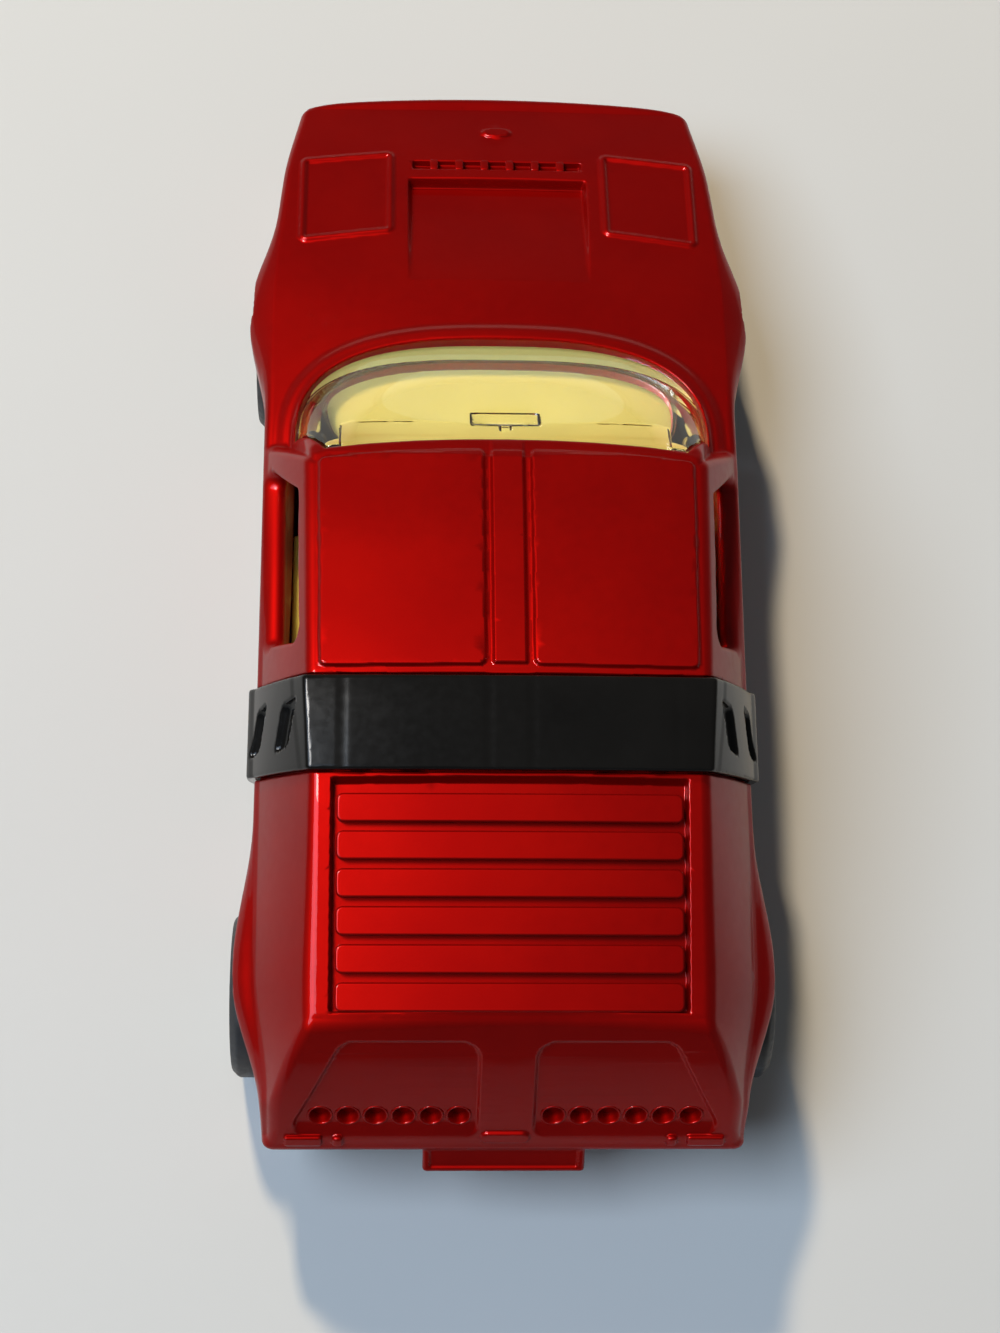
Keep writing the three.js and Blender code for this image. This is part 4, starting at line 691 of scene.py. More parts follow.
def moulded(name, field, low, high, step, most_triangles):
    """The surface of a field as a piece, thinned where it is plain, with the field's own normals."""
    points, quads = net(field, low, high, step)
    points = settle(field, points, step * 0.6, 2)
    mesh = bpy.data.meshes.new(name)
    mesh.vertices.add(len(points))
    mesh.vertices.foreach_set("co", points.ravel())
    mesh.loops.add(len(quads) * 4)
    mesh.loops.foreach_set("vertex_index", quads.ravel())
    mesh.polygons.add(len(quads))
    mesh.polygons.foreach_set("loop_start", np.arange(len(quads), dtype=np.int32) * 4)
    mesh.update()
    mesh.validate()
    piece = new_object(name, mesh)
    triangles = len(quads) * 2
    if triangles > most_triangles:
        thin = piece.modifiers.new("thin", "DECIMATE")
        thin.ratio = most_triangles / triangles
        plain_copy(piece)
    mesh = piece.data
    count = len(mesh.vertices)
    flat = np.empty(count * 3, np.float32)
    mesh.vertices.foreach_get("co", flat)
    points = settle(field, flat.reshape(-1, 3), step * 0.5, 2)
    _, gradient = slope_of(field, points, 0.04)
    normals = gradient / np.maximum(np.linalg.norm(gradient, axis=1, keepdims=True), 1e-6)
    mesh.vertices.foreach_set("co", (points * MM).astype(np.float32).ravel())
    mesh.update()
    mesh.polygons.foreach_set("use_smooth", np.ones(len(mesh.polygons), bool))
    mesh.normals_split_custom_set_from_vertices(normals.tolist())
    mesh.update()
    return piece


# Shapes from mesh code

def from_bmesh(name, shape):
    bmesh.ops.remove_doubles(shape, verts=shape.verts, dist=1e-8)
    bmesh.ops.recalc_face_normals(shape, faces=shape.faces)
    mesh = bpy.data.meshes.new(name)
    shape.to_mesh(mesh)
    shape.free()
    return mesh


def smooth(mesh):
    """Smooth shading with the sharp edges kept."""
    mesh.polygons.foreach_set("use_smooth", np.ones(len(mesh.polygons), bool))
    mesh.set_sharp_from_angle(angle=SHARP_ANGLE)
    return mesh


def turned(name, profile, steps):
    """A ring turned about the X axis from a closed profile of (x, radius) in millimetres."""
    shape = bmesh.new()
    ring = [shape.verts.new((x * MM, r * MM, 0)) for x, r in profile]
    edges = [shape.edges.new((a, b)) for a, b in zip(ring, ring[1:] + ring[:1])]
    bmesh.ops.spin(shape, geom=ring + edges, cent=(0, 0, 0), axis=(1, 0, 0), angle=2 * math.pi, steps=steps)
    return from_bmesh(name, shape)


def rounded_profile(points, radius, steps=3):
    """A closed profile with its corners rounded."""
    points = [Vector(p) for p in points]
    out = []
    for i, corner in enumerate(points):
        before, after = points[i - 1], points[(i + 1) % len(points)]
        start = corner.lerp(before, min(0.45, radius / (corner - before).length))
        end = corner.lerp(after, min(0.45, radius / (corner - after).length))
        for k in range(steps + 1):
            t = k / steps
            out.append(tuple(start.lerp(corner, t).lerp(corner.lerp(end, t), t)))
    return out


def bevelled_box(name, size, bevel, segments, cuts=1, corner=0.0):
    """A box of a size in millimetres, divided along X, with rounded edges and, in plan, rounder corners."""
    shape = bmesh.new()
    bmesh.ops.create_cube(shape, size=1)
    bmesh.ops.scale(shape, vec=[s * MM for s in size], verts=shape.verts)
    edges = shape.edges[:]
    if corner:
        upright = [e for e in edges if abs(e.verts[0].co.z - e.verts[1].co.z) > bevel * MM]
        bmesh.ops.bevel(shape, geom=upright, offset=corner * MM, segments=4, profile=0.5, affect="EDGES")
        edges = [e for e in shape.edges if e.verts[0].co.z * e.verts[1].co.z > 0]
    bmesh.ops.bevel(shape, geom=edges, offset=bevel * MM, segments=segments, profile=0.5, affect="EDGES")
    if cuts > 1:
        half = size[0] * MM / 2
        for i in range(1, cuts):
            place = (-half + 2 * half * i / cuts, 0, 0)
            bmesh.ops.bisect_plane(shape, geom=shape.verts[:] + shape.edges[:] + shape.faces[:],
                                   plane_co=place, plane_no=(1, 0, 0))
    return from_bmesh(name, shape)


def moved(mesh, matrix):
    mesh.transform(matrix)
    mesh.update()
    return mesh


# Node trees

def wire(tree, *links):
    """Links nodes of a tree. Each link names a node and its output, then a node and its input."""
    for source, output, target, entry in links:
        tree.links.new(source.outputs[output], target.inputs[entry])


def fill(node, values):
    """Sets a node's inputs by their names."""
    for label, value in values.items():
        node.inputs[label].default_value = value
    return node


def add(tree, *kinds):
    return [tree.nodes.new(kind) for kind in kinds]


def math_node(tree, operation):
    node = tree.nodes.new("ShaderNodeMath")
    node.operation = operation
    return node


def copies_tree(name, count):
    """A geometry tree for copies of a shape, with its two end nodes."""
    tree = bpy.data.node_groups.new(name, "GeometryNodeTree")
    tree.interface.new_socket("Geometry", in_out="INPUT", socket_type="NodeSocketGeometry")
    tree.interface.new_socket("Count", in_out="INPUT", socket_type="NodeSocketInt").default_value = count
    tree.interface.new_socket("Shape", in_out="INPUT", socket_type="NodeSocketObject")
    tree.interface.new_socket("Finish", in_out="INPUT", socket_type="NodeSocketMaterial")
    tree.interface.new_socket("Geometry", in_out="OUTPUT", socket_type="NodeSocketGeometry")
    return tree, *add(tree, "NodeGroupInput", "NodeGroupOutput")


def finish_tree(tree, given, result, last, output):
    """Makes a tree's copies real, gives them their finish and sends them out."""
    realize, paint = add(tree, "GeometryNodeRealizeInstances", "GeometryNodeSetMaterial")
    wire(tree, (last, output, realize, "Geometry"), (realize, "Geometry", paint, "Geometry"),
         (given, "Finish", paint, "Material"), (paint, "Geometry", result, "Geometry"))


def row_tree():
    """Copies of a shape spaced evenly along each line of a path."""
    tree, given, result = copies_tree("toy_row", 6)
    curve, resample = add(tree, "GeometryNodeMeshToCurve", "GeometryNodeResampleCurve")
    shape, place = add(tree, "GeometryNodeObjectInfo", "GeometryNodeInstanceOnPoints")
    wire(tree, (given, "Geometry", curve, "Mesh"), (curve, "Curve", resample, "Curve"),
         (given, "Count", resample, "Count"), (given, "Shape", shape, "Object"),
         (resample, "Curve", place, "Points"), (shape, "Geometry", place, "Instance"))
    finish_tree(tree, given, result, place, "Instances")


def ring_tree():
    """Copies of a shape turned evenly about the X axis, joined to the given mesh."""
    tree, given, result = copies_tree("toy_ring", 5)
    line, index, turn = add(tree, "GeometryNodeMeshLine", "GeometryNodeInputIndex", "ShaderNodeCombineXYZ")
    shape, place = add(tree, "GeometryNodeObjectInfo", "GeometryNodeInstanceOnPoints")
    join = tree.nodes.new("GeometryNodeJoinGeometry")
    share = math_node(tree, "DIVIDE")
    angle = fill(math_node(tree, "MULTIPLY"), {1: 2 * math.pi})
    fill(line, {"Offset": (0, 0, 0)})
    wire(tree, (given, "Count", line, "Count"), (index, "Index", share, 0), (given, "Count", share, 1),
         (share, "Value", angle, 0), (angle, "Value", turn, "X"), (given, "Shape", shape, "Object"),
         (line, "Mesh", place, "Points"), (shape, "Geometry", place, "Instance"),
         (turn, "Vector", place, "Rotation"), (place, "Instances", join, "Geometry"),
         (given, "Geometry", join, "Geometry"))
    finish_tree(tree, given, result, join, "Geometry")


def grown(piece, tree, shape_mesh, count, finish):
    """Runs a tree of copies on a piece, keeps the result as a plain mesh and clears the shape away."""
    shape = new_object(piece.name + "_shape", shape_mesh)
    values = {"Count": count, "Shape": shape, "Finish": bpy.data.materials[finish]}
    modifier = piece.modifiers.new(tree, "NODES")
    modifier.node_group = bpy.data.node_groups[tree]
    for socket in modifier.node_group.interface.items_tree:
        if socket.name in values:
            modifier[socket.identifier] = values[socket.name]
    plain_copy(piece)
    bpy.data.objects.remove(shape)
    bpy.data.meshes.remove(shape_mesh)
    return piece


def row_of(name, lines, shape_mesh, count, finish):
    """A row of one shape along straight or bent lines of points in millimetres."""
    points, edges = [], []
    for line in lines:
        first = len(points)
        points += [tuple(v * MM for v in p) for p in line]
        edges += [(first + i, first + i + 1) for i in range(len(line) - 1)]
    path = bpy.data.meshes.new(name)
    path.from_pydata(points, edges, [])
    piece = grown(new_object(name, path), "toy_row", shape_mesh, count, finish)
    smooth(piece.data)
    even = piece.modifiers.new("even", "WEIGHTED_NORMAL")
    even.keep_sharp = True
    even.weight = 80
    return plain_copy(piece)


# Finishes

def mottle_group():
    """Two soft scales of noise that vary a colour and a roughness, and a fine height for a bump."""
    group = bpy.data.node_groups.new("toy_mottle", "ShaderNodeTree")
    for way, kind, labels in (
            ("INPUT", "Color", ("Deep", "Bright")),
            ("INPUT", "Float", ("Cloud Scale", "Grain Scale", "Rough Low", "Rough High")),
            ("OUTPUT", "Color", ("Color",)), ("OUTPUT", "Float", ("Roughness", "Height"))):
        for label in labels:
            group.interface.new_socket(label, in_out=way, socket_type="NodeSocket" + kind)
    given, result, place = add(group, "NodeGroupInput", "NodeGroupOutput", "ShaderNodeTexCoord")
    cloud, grain, mix = add(group, "ShaderNodeTexNoise", "ShaderNodeTexNoise", "ShaderNodeMix")
    spread, rough = add(group, "ShaderNodeMapRange", "ShaderNodeMapRange")
    fill(cloud, {"Detail": 3})
    fill(grain, {"Detail": 2})
    fill(spread, NOISE_SPAN)
    fill(rough, NOISE_SPAN)
    mix.data_type = "RGBA"
    wire(group, (place, "Object", cloud, "Vector"), (place, "Object", grain, "Vector"),
         (given, "Cloud Scale", cloud, "Scale"), (given, "Grain Scale", grain, "Scale"),
         (cloud, "Fac", spread, "Value"), (spread, "Result", mix, "Factor"), (given, "Deep", mix, "A"),
         (given, "Bright", mix, "B"), (grain, "Fac", rough, "Value"), (given, "Rough Low", rough, "To Min"),
         (given, "Rough High", rough, "To Max"), (mix, "Result", result, "Color"),
         (rough, "Result", result, "Roughness"), (grain, "Fac", result, "Height"))


def finish_of(name, deep, bright, rough, scales, bump, bump_reach=0.02, metallic=0.0, coat=0.0, specular=0.5):
    """A finish whose colour and roughness are mottled and whose surface has a fine unevenness."""
    material = bpy.data.materials.new(name)
    material.use_nodes = True
    tree = material.node_tree
    mottle = tree.nodes.new("ShaderNodeGroup")
    mottle.node_tree = bpy.data.node_groups["toy_mottle"]
    fill(mottle, {"Deep": (*deep, 1), "Bright": (*bright, 1), "Cloud Scale": scales[0],
                  "Grain Scale": scales[1], "Rough Low": rough[0], "Rough High": rough[1]})
    uneven = fill(tree.nodes.new("ShaderNodeBump"), {"Strength": bump, "Distance": bump_reach * MM})
    shader = fill(tree.nodes["Principled BSDF"], {
        "Metallic": metallic, "Coat Weight": coat, "Coat Roughness": 0.03, "Coat IOR": 1.38,
        "Specular IOR Level": specular})
    wire(tree, (mottle, "Color", shader, "Base Color"), (mottle, "Roughness", shader, "Roughness"),
         (mottle, "Height", uneven, "Height"), (uneven, "Normal", shader, "Normal"))
    return material


def clear_finish(name, tint):
    """Clear moulded plastic that lets the lamps through to the cabin."""
    material = bpy.data.materials.new(name)
    material.use_nodes = True
    tree = material.node_tree
    shader = fill(tree.nodes["Principled BSDF"], {
        "Base Color": (*tint, 1), "Roughness": 0.0, "IOR": 1.49, "Transmission Weight": 1})
    through, path, mix = add(tree, "ShaderNodeBsdfTransparent", "ShaderNodeLightPath", "ShaderNodeMixShader")
    lit = math_node(tree, "MAXIMUM")
    wire(tree, (path, "Is Shadow Ray", lit, 0), (path, "Is Diffuse Ray", lit, 1), (lit, "Value", mix, "Fac"),
         (shader, "BSDF", mix, 1), (through, "BSDF", mix, 2),
         (mix, "Shader", tree.nodes["Material Output"], "Surface"))


def shade(colour, factor):
    return tuple(c * factor for c in colour)


def make_finishes(colours):
    """The finishes and node trees, made once and found again by their names."""
    if "paint_finish" in bpy.data.materials:
        return
    mottle_group()
    row_tree()
    ring_tree()
    finish_of("paint_finish", colours.paint_deep, colours.paint_bright, (0.48, 0.52), (150.0, 1300.0),
              0.03, 0.03, metallic=0.65, coat=0.4, specular=0.0)
    finish_of("band_finish", colours.band_black, shade(colours.band_black, 1.6), (0.15, 0.19),
              (140.0, 1800.0), 0.05, 0.03, specular=0.18)
    finish_of("cream_finish", shade(colours.cream, 0.92), colours.cream, (0.38, 0.5), (160.0, 2200.0),
              0.06, 0.03, specular=0.2)
    finish_of("wheel_finish", colours.wheel_black, shade(colours.wheel_black, 1.7), (0.42, 0.58),
              (300.0, 2600.0), 0.1, 0.04)
    finish_of("base_finish", shade(colours.bare_metal, 0.8), colours.bare_metal, (0.38, 0.55),
              (220.0, 3200.0), 0.14, 0.04, metallic=1.0)
    finish_of("wire_finish", shade(colours.wire, 0.85), colours.wire, (0.22, 0.34), (300.0, 4200.0),
              0.05, metallic=1.0)
    clear_finish("screen_finish", colours.clear)


# Properties

def length_property(name, description, size):
    """A length that a user would change. Its size is given in millimetres."""
    return FloatProperty(name=name, description=description, default=size * MM, unit="LENGTH", precision=5)


def count_property(name, description, count, least):
    return IntProperty(name=name, description=description, default=count, min=least)


def colour_property(name, description, colour):
    return FloatVectorProperty(name=name, description=description, default=colour, subtype="COLOR")


class CarSizes(bpy.types.PropertyGroup):
    """Sizes that a user would change."""
    casting_step: length_property("Casting step", "Spacing of the samples for the cast body", 0.17)
    moulding_step: length_property("Moulding step", "Spacing of the samples for cabin and base", 0.2)
    slat_count: count_property("Slats", "Number of slats on the rear deck", 6, 2)
    slat_gap: length_property("Slat gap", "Gap between two slats", 0.46)
    slat_round: length_property("Slat edge", "Rounding of the slats' edges", 0.14)
    vent_count: count_property("Vents", "Number of small vents across the bonnet", 7, 2)
    pit_count: count_property("Lamp pits", "Number of lamp pits on each side of the tail", PIT_COUNT, 2)
    spoke_count: count_property("Spokes", "Number of spokes in each wheel", 5, 3)
    wheel_steps: count_property("Wheel steps", "Divisions around each wheel", 72, 24)


class CarFinishes(bpy.types.PropertyGroup):
    """Colours that a user would change."""
    paint_deep: colour_property("Paint, deep", "Darker tone of the candy paint", (0.25, 0.0015, 0.001))
    paint_bright: colour_property("Paint, bright", "Lighter tone of the candy paint", (0.285, 0.002, 0.001))
    band_black: colour_property("Band", "Black plastic of the roof band", (0.005, 0.0045, 0.004))
    cream: colour_property("Cabin", "Cream plastic of the cabin", (0.74, 0.61, 0.155))
    clear: colour_property("Screen", "Tint of the clear screen", (0.97, 0.98, 0.96))
    wheel_black: colour_property("Wheels", "Black plastic of the wheels", (0.014, 0.014, 0.015))
    bare_metal: colour_property("Base", "Bare cast metal of the base", (0.42, 0.42, 0.43))
    wire: colour_property("Axles", "Plated steel of the axles and springs", (0.56, 0.56, 0.57))
    floor: colour_property("Floor", "Pale floor under the car", (0.56, 0.555, 0.54))


# Pieces

def ready(context):
    """Makes the finishes where they aren't there yet, and hands over the car's sizes."""
    make_finishes(context.scene.toycar_finishes)
    return context.scene.toycar_sizes


def dress(piece, finish, slot, body, *nodes):
    """Gives a piece its finish, the body that it rides on and the solids that it stands for. Its slot is not
    used.
    """
    piece.data.materials.clear()
    piece.data.materials.append(bpy.data.materials[finish])
    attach(piece, body)
    if nodes:
        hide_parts(*nodes)
    return piece


def read_at(curve, y):
    return float(curve(np.array(y)))


def offset(*place):
    """A move by a place in millimetres."""
    return Matrix.Translation([v * MM for v in place])


def steering_wheel():
    """The rim with its spokes, and the column with its hub, on the right-hand side."""
    turns = np.linspace(0, 2 * math.pi, 13)[:-1]
    rim = [(0.36 * math.cos(a), 2.3 + 0.36 * math.sin(a)) for a in turns]
    spoke = moved(bevelled_box("steering_spoke", (0.5, 0.55, 2.2), 0.15, 2), offset(0, 0, 1.15))
    steering = new_object("steering_wheel", turned("steering_rim", rim, 40))
    grown(steering, "toy_ring", spoke, 3, "cream_finish")
    section = rounded_profile(COLUMN_SECTION, 0.1)
    column = new_object("steering_column", turned("steering_column", section, 24))
    lean = Matrix.Rotation(math.radians(-90), 4, "Z")
    tilt = Matrix.Rotation(math.radians(STEERING_TILT), 4, "X")
    for piece in (steering, column):
        moved(piece.data, offset(*STEERING_PLACE) @ tilt @ lean)
        smooth(piece.data)
        dress(piece, "cream_finish", "cream_plastic", CHASSIS)


def wire_axle(end, y, track):
    """An axle with its two headed ends, just inside the wheels' outer faces."""
    half = track / 2 - 0.12
    neck = half - 0.42
    section = rounded_profile(((-half, 0.02), (-half + 0.12, 0.8), (-neck, 0.9), (-neck, AXLE_RADIUS),
                               (neck, AXLE_RADIUS), (neck, 0.9), (half - 0.12, 0.8), (half, 0.02)), 0.1)
    axle = new_object(end + "_wire_axle", turned(end + "_wire_axle", section, 28))
    moved(axle.data, offset(0, y, AXLE_Z))
    smooth(axle.data)
    dress(axle, "wire_finish", "steel_wire", end + "_axle", end + "_axle")


def leaf_spring(end, y, post_y):
    """A bent strip from the seat at a post to the top of its axle."""
    way = 1 if y > post_y else -1
    seat = way * POST_BOSS_RADIUS
    knots = [(post_y - seat, LEAF_SEAT_Z), (post_y + seat, LEAF_SEAT_Z), (y, 5.8), (y + way * 1.4, 6.1)]
    shape = bmesh.new()
    rows = []
    for along, z in knots:
        top = z + LEAF_THICKNESS
        corners = ((-LEAF_HALF, z), (LEAF_HALF, z), (LEAF_HALF, top), (-LEAF_HALF, top))
        rows.append([shape.verts.new((x * MM, along * MM, h * MM)) for x, h in corners])
    for a, b in zip(rows, rows[1:]):
        for i in range(4):
            shape.faces.new((a[i], a[(i + 1) % 4], b[(i + 1) % 4], b[i]))
    shape.faces.new(rows[0])
    shape.faces.new(rows[-1])
    bmesh.ops.bevel(shape, geom=shape.edges[:], offset=0.08 * MM, segments=2, affect="EDGES",
                    clamp_overlap=True)
    leaf = new_object(end + "_leaf_spring", smooth(from_bmesh(end + "_leaf_spring", shape)))
    dress(leaf, "wire_finish", "spring_steel", CHASSIS, end + "_axle_spring")
    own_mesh(leaf)


def spoked_wheel(name, x, y, sizes):
    """A wheel with its outer face at a place across the car, facing outwards."""
    section = rounded_profile(WHEEL_SECTION, 0.16)
    wheel = new_object(name + "_moulding", turned(name + "_moulding", section, sizes.wheel_steps))
    spoke = moved(bevelled_box(name + "_spoke", (0.7, 0.95, 2.3), 0.18, 3), offset(-0.72, 0, 2.2))
    grown(wheel, "toy_ring", spoke, sizes.spoke_count, "wheel_finish")
    turn = Matrix.Identity(4) if x > 0 else Matrix.Rotation(math.pi, 4, "Z")
    moved(wheel.data, offset(x, y, AXLE_Z) @ turn)
    smooth(wheel.data)
    dress(wheel, "wheel_finish", "wheel_plastic", name, name)


def area_lamp(name, place, size, power, colour):
    """A square lamp that points at the car."""
    light = bpy.data.lights.new(name, "AREA")
    light.size = size
    light.energy = power
    light.color = colour
    lamp = new_object(name, light)
    lamp.location = place
    lamp.rotation_euler = (-Vector(place)).to_track_quat("-Z", "Y").to_euler()
    return lamp


# Operators

class TOYCAR_OT_stage(bpy.types.Operator):
    """Pale floor, soft lamps and the camera at the photograph's view"""
    bl_idname = "toycar.stage"
    bl_label = "Stage"

    def execute(self, context):
        ready(context)
        scene = context.scene
        colours = scene.toycar_finishes
        scene.view_settings.view_transform = "Standard"
        paint = finish_of("pale_floor", shade(colours.floor, 0.97), colours.floor, (0.6, 0.7), (18.0, 900.0),
                          0.02, specular=0.1)
        corners = [(-2, -2, 0), (2, -2, 0), (2, 2, 0), (-2, 2, 0)]
        floor = new_object("pale_floor", mesh_of("pale_floor", corners, [(0, 1, 2, 3)]))
        floor.data.materials.append(paint)
        front = area_lamp("front_lamp", (-0.16, 0.5, 0.53), 0.06, 4.9, (1.0, 0.8, 0.52))
        front.visible_glossy = False
        area_lamp("window_lamp", (-0.32, -0.06, 0.52), 0.36, 3.7, (0.62, 0.79, 1.0))
        sheen = area_lamp("sheen_lamp", (-0.262, 0.04, 0.54), 0.15, 4.0, (1.0, 0.93, 0.85))
        sheen.visible_diffuse = False
        world = bpy.data.worlds.new("soft_room")
        world.use_nodes = True
        fill(world.node_tree.nodes["Background"], {"Color": (0.9, 0.95, 1.0, 1), "Strength": 0.11})
        scene.world = world
        lens = bpy.data.cameras.new("photo_camera")
        lens.sensor_width = SENSOR
        lens.lens = SENSOR * PHOTO_FOCAL / PHOTO_HEIGHT
        lens.clip_start = 0.01
        camera = new_object("photo_camera", lens)
        camera.location = [v * MM for v in CAMERA_PLACE]
        camera.rotation_euler = Euler([math.radians(a) for a in CAMERA_TURN])
        scene.camera = camera
        return {"FINISHED"}


class TOYCAR_OT_body(bpy.types.Operator):
    """Cast body shell with its openings, panels, beads, posts and blank plate"""
    bl_idname = "toycar.body"
    bl_label = "Cast body"

    def execute(self, context):
        step = ready(context).casting_step / MM
        body = moulded("cast_body", body_field, (-17.6, -38.8, 3.0), (17.6, 38.7, 22.2), step, 190000)
        dress(body, "paint_finish", "body_paint", CHASSIS, "body_shell")
        return {"FINISHED"}


class TOYCAR_OT_slats(bpy.types.Operator):
    """Slats across the rear deck"""
    bl_idname = "toycar.slats"
    bl_label = "Deck slats"

    def execute(self, context):
        sizes = ready(context)
        front, rear = DECK_FRONT_Y - 0.1, DECK_REAR_Y + 0.12
        pitch = (front - rear) / sizes.slat_count
        width = pitch - sizes.slat_gap / MM
        size = (SLAT_LENGTH, width, SLAT_THICKNESS)
        slat = bevelled_box("deck_slat", size, sizes.slat_round / MM, 4, 24, 0.4)
        for vertex in slat.vertices:
            vertex.co.z -= ROOF_CROWN * MM * (vertex.co.x / MM / DECK_HALF) ** 2
        slope = math.atan2(read_at(roof_z, front) - read_at(roof_z, rear), front - rear)
        moved(slat, Matrix.Rotation(slope, 4, "X"))
        stations = np.linspace(front - pitch / 2, rear + pitch / 2, sizes.slat_count)
        line = [(0, y, read_at(roof_z, y) - SLAT_SINK) for y in stations]
        slats = row_of("deck_slats", [line], slat, sizes.slat_count, "paint_finish")
        dress(slats, "paint_finish", "body_paint", CHASSIS)
        return {"FINISHED"}


class TOYCAR_OT_vents(bpy.types.Operator):
    """Bars that part the row of small vents on the bonnet"""
    bl_idname = "toycar.vents"
    bl_label = "Bonnet vents"

    def execute(self, context):
        bars = ready(context).vent_count - 1
        bar = bevelled_box("vent_bar", VENT_BAR, 0.12, 3)
        moved(bar, Matrix.Rotation(-math.atan(BONNET_FALL), 4, "X"))
        half_row = VENT_PITCH * (bars - 1) / 2
        crown = read_at(bonnet_crown, VENT_Y)
        height = read_at(shoulder_z, VENT_Y) + crown - VENT_BAR[2] / 2
        xs = np.linspace(-half_row, half_row, bars)
        line = [(x, VENT_Y, height - crown * (x / BONNET_HALF) ** 2) for x in xs]
        vents = row_of("vent_bars", [line], bar, bars, "paint_finish")
        dress(vents, "paint_finish", "body_paint", CHASSIS)
        return {"FINISHED"}


class TOYCAR_OT_pits(bpy.types.Operator):
    """Round lamp pits along the tail"""
    bl_idname = "toycar.pits"
    bl_label = "Tail lamp pits"

    def execute(self, context):
        count = ready(context).pit_count
        cup = turned("lamp_pit", rounded_profile(PIT_SECTION, 0.07), 32)
        lean = math.atan2(TAIL_SIN, TAIL_COS)
        moved(cup, Matrix.Rotation(-lean, 4, "X") @ Matrix.Rotation(-math.pi / 2, 4, "Z"))
        t = PIT_RUN / TAIL_RUN
        out = TAIL_BULGE * TAIL_COS * hump(t) - TAIL_PANEL_DEPTH
        y = DECK_REAR_Y - TAIL_RUN * t - out * TAIL_COS
        z = DECK_REAR_Z - TAIL_DROP * t + out * TAIL_SIN
        last = PIT_FIRST + PIT_PITCH * (count - 1)
        lines = [[(side * PIT_FIRST, y, z), (side * last, y, z)] for side in (-1, 1)]
        pits = row_of("tail_lamp_pits", lines, cup, count, "paint_finish")
        dress(pits, "paint_finish", "body_paint", CHASSIS)
        return {"FINISHED"}


class TOYCAR_OT_band(bpy.types.Operator):
    """Black band over the roof"""
    bl_idname = "toycar.band"
    bl_label = "Roof band"

    def execute(self, context):
        ready(context)
        low, high = (-17.2, -17.4, 3.2), (17.2, -5.6, 22.4)
        band = moulded("black_roof_band", band_field, low, high, FINE_STEP, 120000)
        dress(band, "band_finish", "black_plastic", CHASSIS, "roof_band")
        return {"FINISHED"}


class TOYCAR_OT_screen(bpy.types.Operator):
    """Clear windscreen insert with its moulded mirror"""
    bl_idname = "toycar.screen"
    bl_label = "Windscreen"

    def execute(self, context):
        ready(context)
        low, high = (-14.2, -6, 11.6), (14.2, 16.6, 20.6)
        screen = moulded("clear_screen", glass_field, low, high, FINE_STEP, 120000)
        dress(screen, "screen_finish", "clear_plastic", CHASSIS, "windscreen")
        return {"FINISHED"}


class TOYCAR_OT_cabin(bpy.types.Operator):
    """Cream cabin moulding with seats, dash shelf and steering wheel"""
    bl_idname = "toycar.cabin"
    bl_label = "Cabin"

    def execute(self, context):
        step = ready(context).moulding_step / MM
        cabin = moulded("cream_cabin", cabin_field, (-13.8, -12.1, 3.2), (13.8, 16.6, 14.8), step, 90000)
        dress(cabin, "cream_finish", "cream_plastic", CHASSIS, "cabin_interior")
        steering_wheel()
        return {"FINISHED"}


class TOYCAR_OT_base(bpy.types.Operator):
    """Bare metal base with its rivets"""
    bl_idname = "toycar.base"
    bl_label = "Base"

    def execute(self, context):
        step = ready(context).moulding_step / MM
        base = moulded("metal_base", base_field, (-15.6, -36.6, 2.0), (15.6, 37.4, 7.2), step, 90000)
        dress(base, "base_finish", "bare_casting", CHASSIS, "base_plate")
        head = turned("rivet_head", rounded_profile(RIVET_SECTION, 0.12), 40)
        moved(head, Matrix.Rotation(math.pi / 2, 4, "Y"))
        line = [(0, y, RIVET_Z) for y in RIVET_YS]
        rivets = row_of("rivet_heads", [line], head, len(RIVET_YS), "base_finish")
        dress(rivets, "base_finish", "bare_casting", CHASSIS)
        return {"FINISHED"}


class TOYCAR_OT_running_gear(bpy.types.Operator):
    """Wire axles with headed ends, and their leaf springs"""
    bl_idname = "toycar.running_gear"
    bl_label = "Axles and springs"

    def execute(self, context):
        ready(context)
        for end, y, track, post_y in AXLES:
            wire_axle(end, y, track)
            leaf_spring(end, y, post_y)
        return {"FINISHED"}


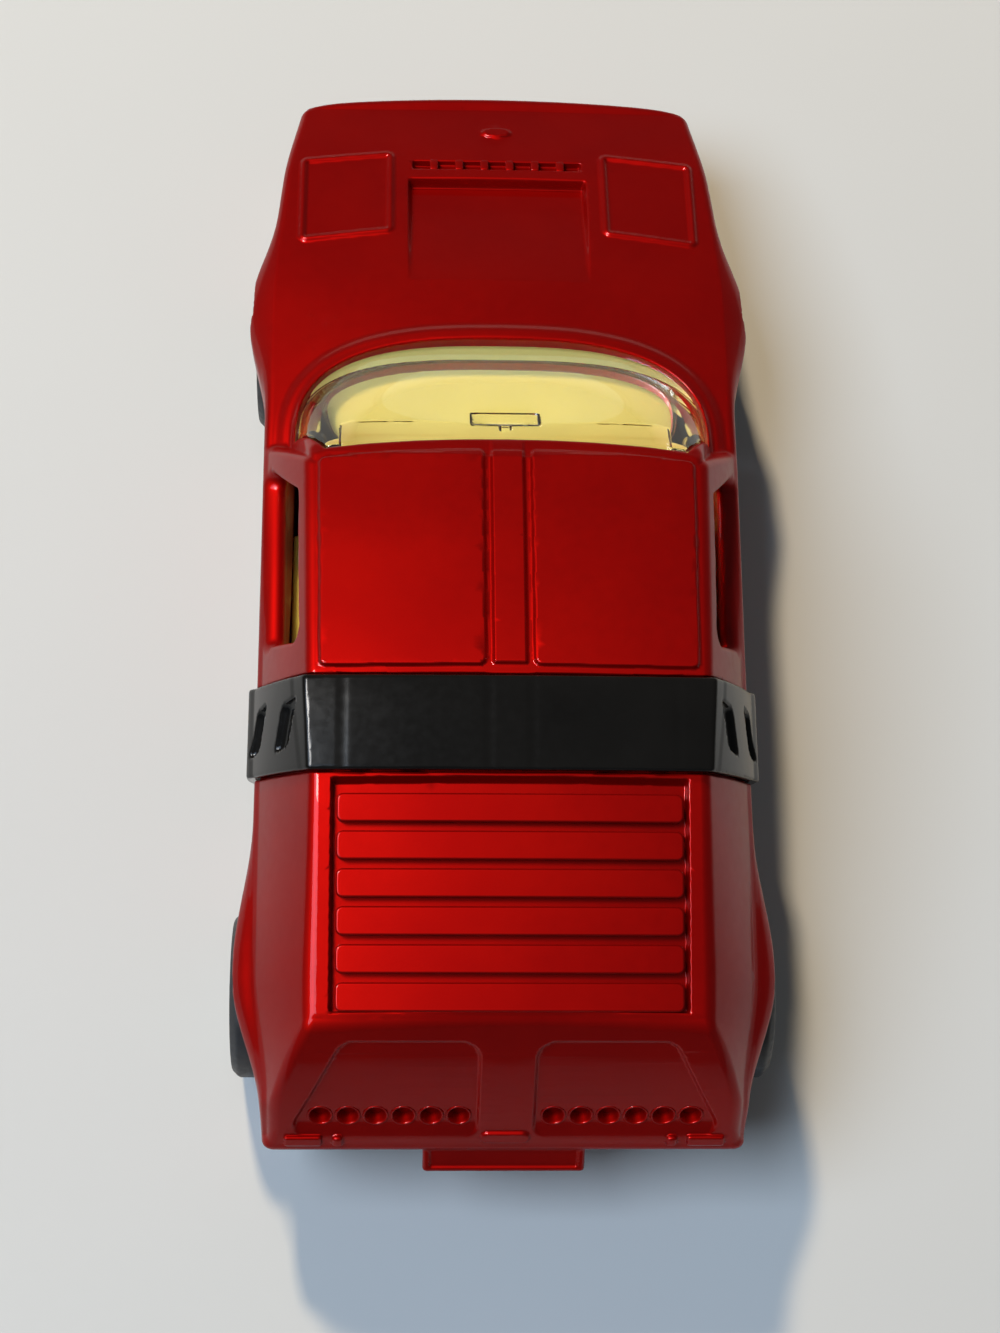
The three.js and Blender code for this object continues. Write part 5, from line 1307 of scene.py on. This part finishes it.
class TOYCAR_OT_wheels(bpy.types.Operator):
    """Four wheels, each one moulding with its spokes"""
    bl_idname = "toycar.wheels"
    bl_label = "Wheels"

    def execute(self, context):
        sizes = ready(context)
        for end, y, track, _ in AXLES:
            for side, sign in (("left", -1), ("right", 1)):
                spoked_wheel(f"wheel_{end}_{side}", sign * track / 2, y, sizes)
        return {"FINISHED"}


class TOYCAR_PT_panel(bpy.types.Panel):
    """The car's sizes, finishes and pieces"""
    bl_idname = "TOYCAR_PT_panel"
    bl_label = "Toy car"
    bl_space_type = "VIEW_3D"
    bl_region_type = "UI"
    bl_category = "Toy Car"

    def draw(self, context):
        for group in (context.scene.toycar_sizes, context.scene.toycar_finishes):
            for label in group.bl_rna.properties.keys():
                if label not in ("rna_type", "name"):
                    self.layout.prop(group, label)
        for piece in OPERATORS:
            self.layout.operator(piece.bl_idname)


OPERATORS = (TOYCAR_OT_stage, TOYCAR_OT_body, TOYCAR_OT_slats, TOYCAR_OT_vents, TOYCAR_OT_pits,
             TOYCAR_OT_band, TOYCAR_OT_screen, TOYCAR_OT_cabin, TOYCAR_OT_base, TOYCAR_OT_running_gear,
             TOYCAR_OT_wheels)
CLASSES = (CarSizes, CarFinishes, *OPERATORS, TOYCAR_PT_panel)


def register():
    for kind in CLASSES:
        bpy.utils.register_class(kind)
    bpy.types.Scene.toycar_sizes = PointerProperty(type=CarSizes)
    bpy.types.Scene.toycar_finishes = PointerProperty(type=CarFinishes)


def unregister():
    del bpy.types.Scene.toycar_finishes
    del bpy.types.Scene.toycar_sizes
    for kind in reversed(CLASSES):
        bpy.utils.unregister_class(kind)


def main():
    register()
    bpy.ops.toycar.stage()
    bpy.ops.toycar.body()
    bpy.ops.toycar.slats()
    bpy.ops.toycar.vents()
    bpy.ops.toycar.pits()
    bpy.ops.toycar.band()
    bpy.ops.toycar.screen()
    bpy.ops.toycar.cabin()
    bpy.ops.toycar.base()
    bpy.ops.toycar.running_gear()
    bpy.ops.toycar.wheels()


if __name__ == "__main__":
    main()
